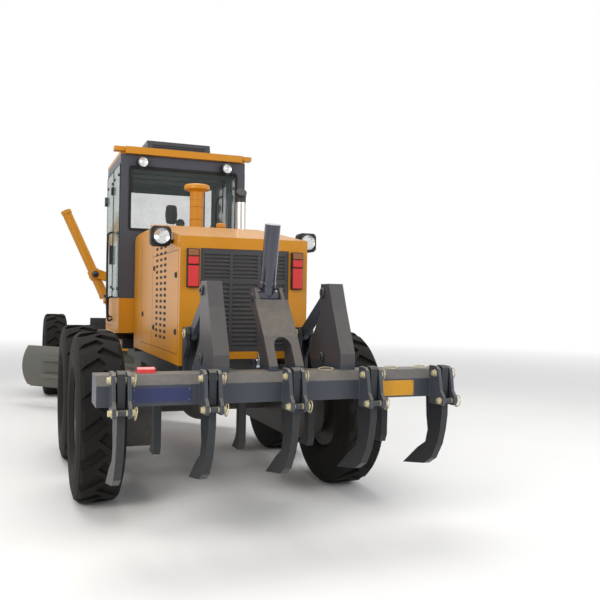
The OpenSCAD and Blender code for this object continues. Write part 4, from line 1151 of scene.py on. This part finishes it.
def dressFront(nose, boltY, boltZ, side, clampsX, pin, pipe, across):
    bolts, lines, clamps = [], [], []
    for z in boltZ:
        washer = [(0, -0.002), (0.026, -0.002), (0.026, 0.004), (0, 0.004)]
        bolts.append(turned(washer, (nose, boltY, z), (1, 0, 0), 24))
        bolts.append(hexHead((nose + 0.004, boltY, z), (1, 0, 0), 0.036, 0.016))
    addPiece("noseBolts", "zincDull", bothSides(bolts), "front_body")
    clip = ringClip((6.62, 0, 0.985), 0.022, 0.003, 1.2)
    addPiece("towPin", "zincDull", [turned(pin, (6.62, 0, 0), steps=24), clip], "front_body")
    y = side + 0.014
    for step in (0.0, 0.03):
        lines.append(tube(smoothPath([(x, y, z - step) for x, z in pipe], 60), 0.008, 10))
        lines.append(tube([(x, y, 1.56 - step) for x in (3.47, 3.5)], 0.012))
    for x in clampsX:
        clamps.append(slab(flat(x - 0.018, 1.512, x + 0.018, 1.578), "xz", side - 0.001, side + 0.026, 0.003))
        clamps.append(hexHead((x, side + 0.026, 1.545), (0, 1, 0), 0.014, 0.006))
    addPiece("framePipes", "blackAndShade", bothSides(lines), "front_body")
    addPiece("pipeClamps", "plasticBlack", bothSides(clamps), "front_body")
    upright = [tube([(x, 0.142, 1.4), (x, 0.142, 1.676)], 0.005, 8) for x in (3.2345, 3.4655)]
    level = [tube([(x, -half, z), (x, half, z)], 0.005, 8) for x, half, z in across]
    addPiece("frontSeams", "machineYellow", bothSides(upright) + level, "front_body")


dressFront(**frontDetail)

# Lift cylinders: glands, pipes and the caps of their trunnions

liftDetail = {
    "trunnion": (3.35, 0.64, 1.85), "up": (0, 0.4175, 0.9087), "radius": 0.06, "capsX": (3.235, 3.465),
    "line": [(0.15, -0.004), (0.15, 0.016), (0.19, 0.026), (0.5, 0.026), (0.8, 0.026), (0.835, 0.016),
             (0.835, -0.004)],
    "port": [(0, -0.01), (0.017, -0.01), (0.017, 0.01), (0.012, 0.014), (0, 0.014)],
}


def dressLift(name, way, trunnion, up, radius, capsX, line, port):
    def at(reach, ahead=0.0):
        return np.array(trunnion) + reach * np.array(up) + [ahead, 0, 0]

    body = "lift_barrel_" + name + "_body"
    rings = [gland(at(reach), up, radius, 0.006, 0.003, 0.044) for reach in (-0.328, 0.85)]
    rings.append(turned([(0, 0.0), (0.03, 0.0), (0.026, 0.006), (0, 0.007)], at(0.899), up, 24))
    addPiece("liftGlands_" + name, "machineYellow", onSide(way, rings), body)
    pipe = ramLine(at, radius, line, 0.008, port, (1, 0, 0), 14)
    addPiece("liftLines_" + name, "blackAndShade", onSide(way, pipe), body)
    caps = [part for x, facing in zip(capsX, (-1, 1)) for part in
            pinCap((x, *trunnion[1:]), (facing, 0, 0), (0.044, 0.008, 0.036, 0.012, 0.024, 0.009), 28)]
    addPiece("trunnionCaps_" + name, "frameCharcoal", onSide(way, caps), "front_body")


for side, way in sides:
    dressLift(side, way, **liftDetail)

# The circle's motor on the drawbar, with the cover of its gears

motorDetail = {
    "place": (4.06, 0.0, 1.122), "radius": 0.052, "length": 0.19, "coverX": 3.98, "coverBolts": 0.056,
}


def makeCircleMotor(place, radius, length, coverX, coverBolts):
    x, y, z = place
    motor = turned([(0, -0.004), (0.075, -0.004), (0.075, 0.014), (radius, 0.016), (radius, 0.11),
                    (radius - 0.006, 0.114), (radius - 0.006, 0.18), (radius - 0.014, length), (0, length)],
                   place, (1, 0, 0), 36)
    cover = turned([(0, 1.186), (0.07, 1.186), (0.07, 1.198), (0.06, 1.203), (0, 1.203)],
                   (coverX, 0, 0), steps=36)
    ports = bothSides([turned([(0, -0.01), (0.014, -0.01), (0.014, 0.012), (0.009, 0.02), (0, 0.02)],
                              (x + 0.15, y + 0.04, z), (0, 1, 0), 12)])
    addPiece("circleMotor", "blackAndShade", [motor, cover, *ports], "drawbar_body")
    bolts = [hexHead((coverX + coverBolts * math.cos(turn), coverBolts * math.sin(turn), 1.2), (0, 0, 1),
                     0.012, 0.008) for turn in roundAngles(6)]
    addPiece("circleMotorBolts", "zincDull", bolts, "drawbar_body")


makeCircleMotor(**motorDetail)

# Tandem covers, tread studs on the platforms and rings on the tyres' walls

sideDetail = {"cover": ((-0.2, 0.52), (0.2, 0.76)), "face": 0.8, "deck": (1.455, 0.655, 1.925, 0.855, 1.19)}
tyreRings = ((0.402, 0.1668), (0.503, 0.1702))  # radius, and reach out from the wheel's middle


def dressSides(cover, face, deck):
    addPiece("tandemCovers", "frameCharcoal",
             bothSides([plate(*cover, 0.03, "xz", face - 0.001, face + 0.008, 0.002)]))
    (x0, z0), (x1, z1) = grown(cover, -0.022)
    bolts = [hexHead((x, face + 0.008, z), (0, 1, 0), 0.018, 0.009) for x in (x0, 0.0, x1) for z in (z0, z1)]
    addPiece("coverBolts", "zincDull", bothSides(bolts))
    x0, y0, x1, y1, z = deck
    studs = []
    for i, x in enumerate(np.arange(x0 + 0.015, x1 - 0.01, 0.03)):
        for j, y in enumerate(np.arange(y0 + 0.015, y1 - 0.01, 0.03)):
            a, b = (0.011, 0.003) if (i + j) % 2 else (0.003, 0.011)
            studs.append(slab(flat(x - a, y - b, x + a, y + b), "xy", z - 0.001, z + 0.003, 0.0012))
    addPiece("treadStuds", "frameCharcoal", bothSides(studs))


dressSides(**sideDetail)
for side, way in sides:
    for place, (axle, *_) in wheelDetail.items():
        at = (axle, way * wheelSize["track"], wheelSize["height"])
        rings = [turned(loop((r - 0.007, w - 0.006), (r - 0.003, w + 0.002), (r + 0.003, w + 0.002),
                             (r + 0.007, w - 0.006)), at, (0, way, 0), 80) for r, w in tyreRings]
        name = side + "_" + place
        addPiece("tyreRings_" + name, "tyreRubber", rings, "wheel_" + name + "_body")
print("front half and sides dressed")


# Stage: world, floor and lamps

def layStage():
    world = bpy.data.worlds.new("world")
    bpy.context.scene.world = world
    world.use_nodes = True
    sky = Nodes(world.node_tree)
    soft = sky.node("ShaderNodeBackground", {}, {"Color": (0.93, 0.96, 1.0, 1.0), "Strength": 0.62})
    white = sky.node("ShaderNodeBackground", {}, {"Color": (1.0, 1.0, 1.0, 1.0), "Strength": 1.0})
    both = sky.node("ShaderNodeMixShader", {}, {0: sky.seen(), 1: soft, 2: white})
    sky.join(sky.tree.nodes["World Output"].inputs["Surface"], both)
    mesh = bpy.data.meshes.new("floor")
    mesh.from_pydata([(x, y, 0) for x, y in flat(-60.0, -60.0, 60.0, 60.0)], [], [(0, 1, 2, 3)])
    floor = bpy.data.objects.new("floor", mesh)
    bpy.context.scene.collection.objects.link(floor)
    paving = Finish("floorPaving", **{"Roughness": 0.9, "Specular IOR Level": 0.1})
    paving.set(colour=paving.mix(paving.noise(0.7, 6.0), tone(238, 236, 232), tone(246, 244, 241)))
    # far from the machine the floor passes into the white background
    far = ((paving.x * paving.x + paving.y * paving.y) ** 0.5).between(7.0, 20.0)
    glow = paving.node("ShaderNodeEmission", {}, {"Color": (1.0, 1.0, 1.0, 1.0), "Strength": 1.0})
    paint = Wire(paving, paving.surface.outputs[0])
    both = paving.node("ShaderNodeMixShader", {}, {0: far * paving.seen(), 1: paint, 2: glow})
    paving.join(paving.tree.nodes["Material Output"].inputs["Surface"], both)
    mesh.materials.append(paving.material)


lamps = {
    # name: place from the pivot, size across and up, power in watts, colour
    "keyLamp": ((-7.0, 6.5, 5.5), (4.0, 4.0), 430, (1.0, 0.97, 0.93)),
    "fillLamp": ((-6.5, -7.0, 4.0), (5.0, 4.0), 260, (0.95, 0.97, 1.0)),
    "topLamp": ((1.5, 0.5, 9.0), (8.0, 5.0), 420, (1.0, 1.0, 1.0)),
}


def hangLamps():
    aim = pivot + Vector((0.2, 0, 1.2))
    for name, (place, size, power, colour) in lamps.items():
        data = bpy.data.lights.new(name, "AREA")
        data.shape = "RECTANGLE"
        data.size, data.size_y = size
        data.energy, data.color = power, colour
        lamp = bpy.data.objects.new(name, data)
        lamp.location = pivot + Vector(place)
        lamp.rotation_euler = (aim - lamp.location).to_track_quat("-Z", "Y").to_euler()
        bpy.context.scene.collection.objects.link(lamp)


layStage()
hangLamps()
bpy.context.scene.view_settings.view_transform = "Standard"
print("stage lit")
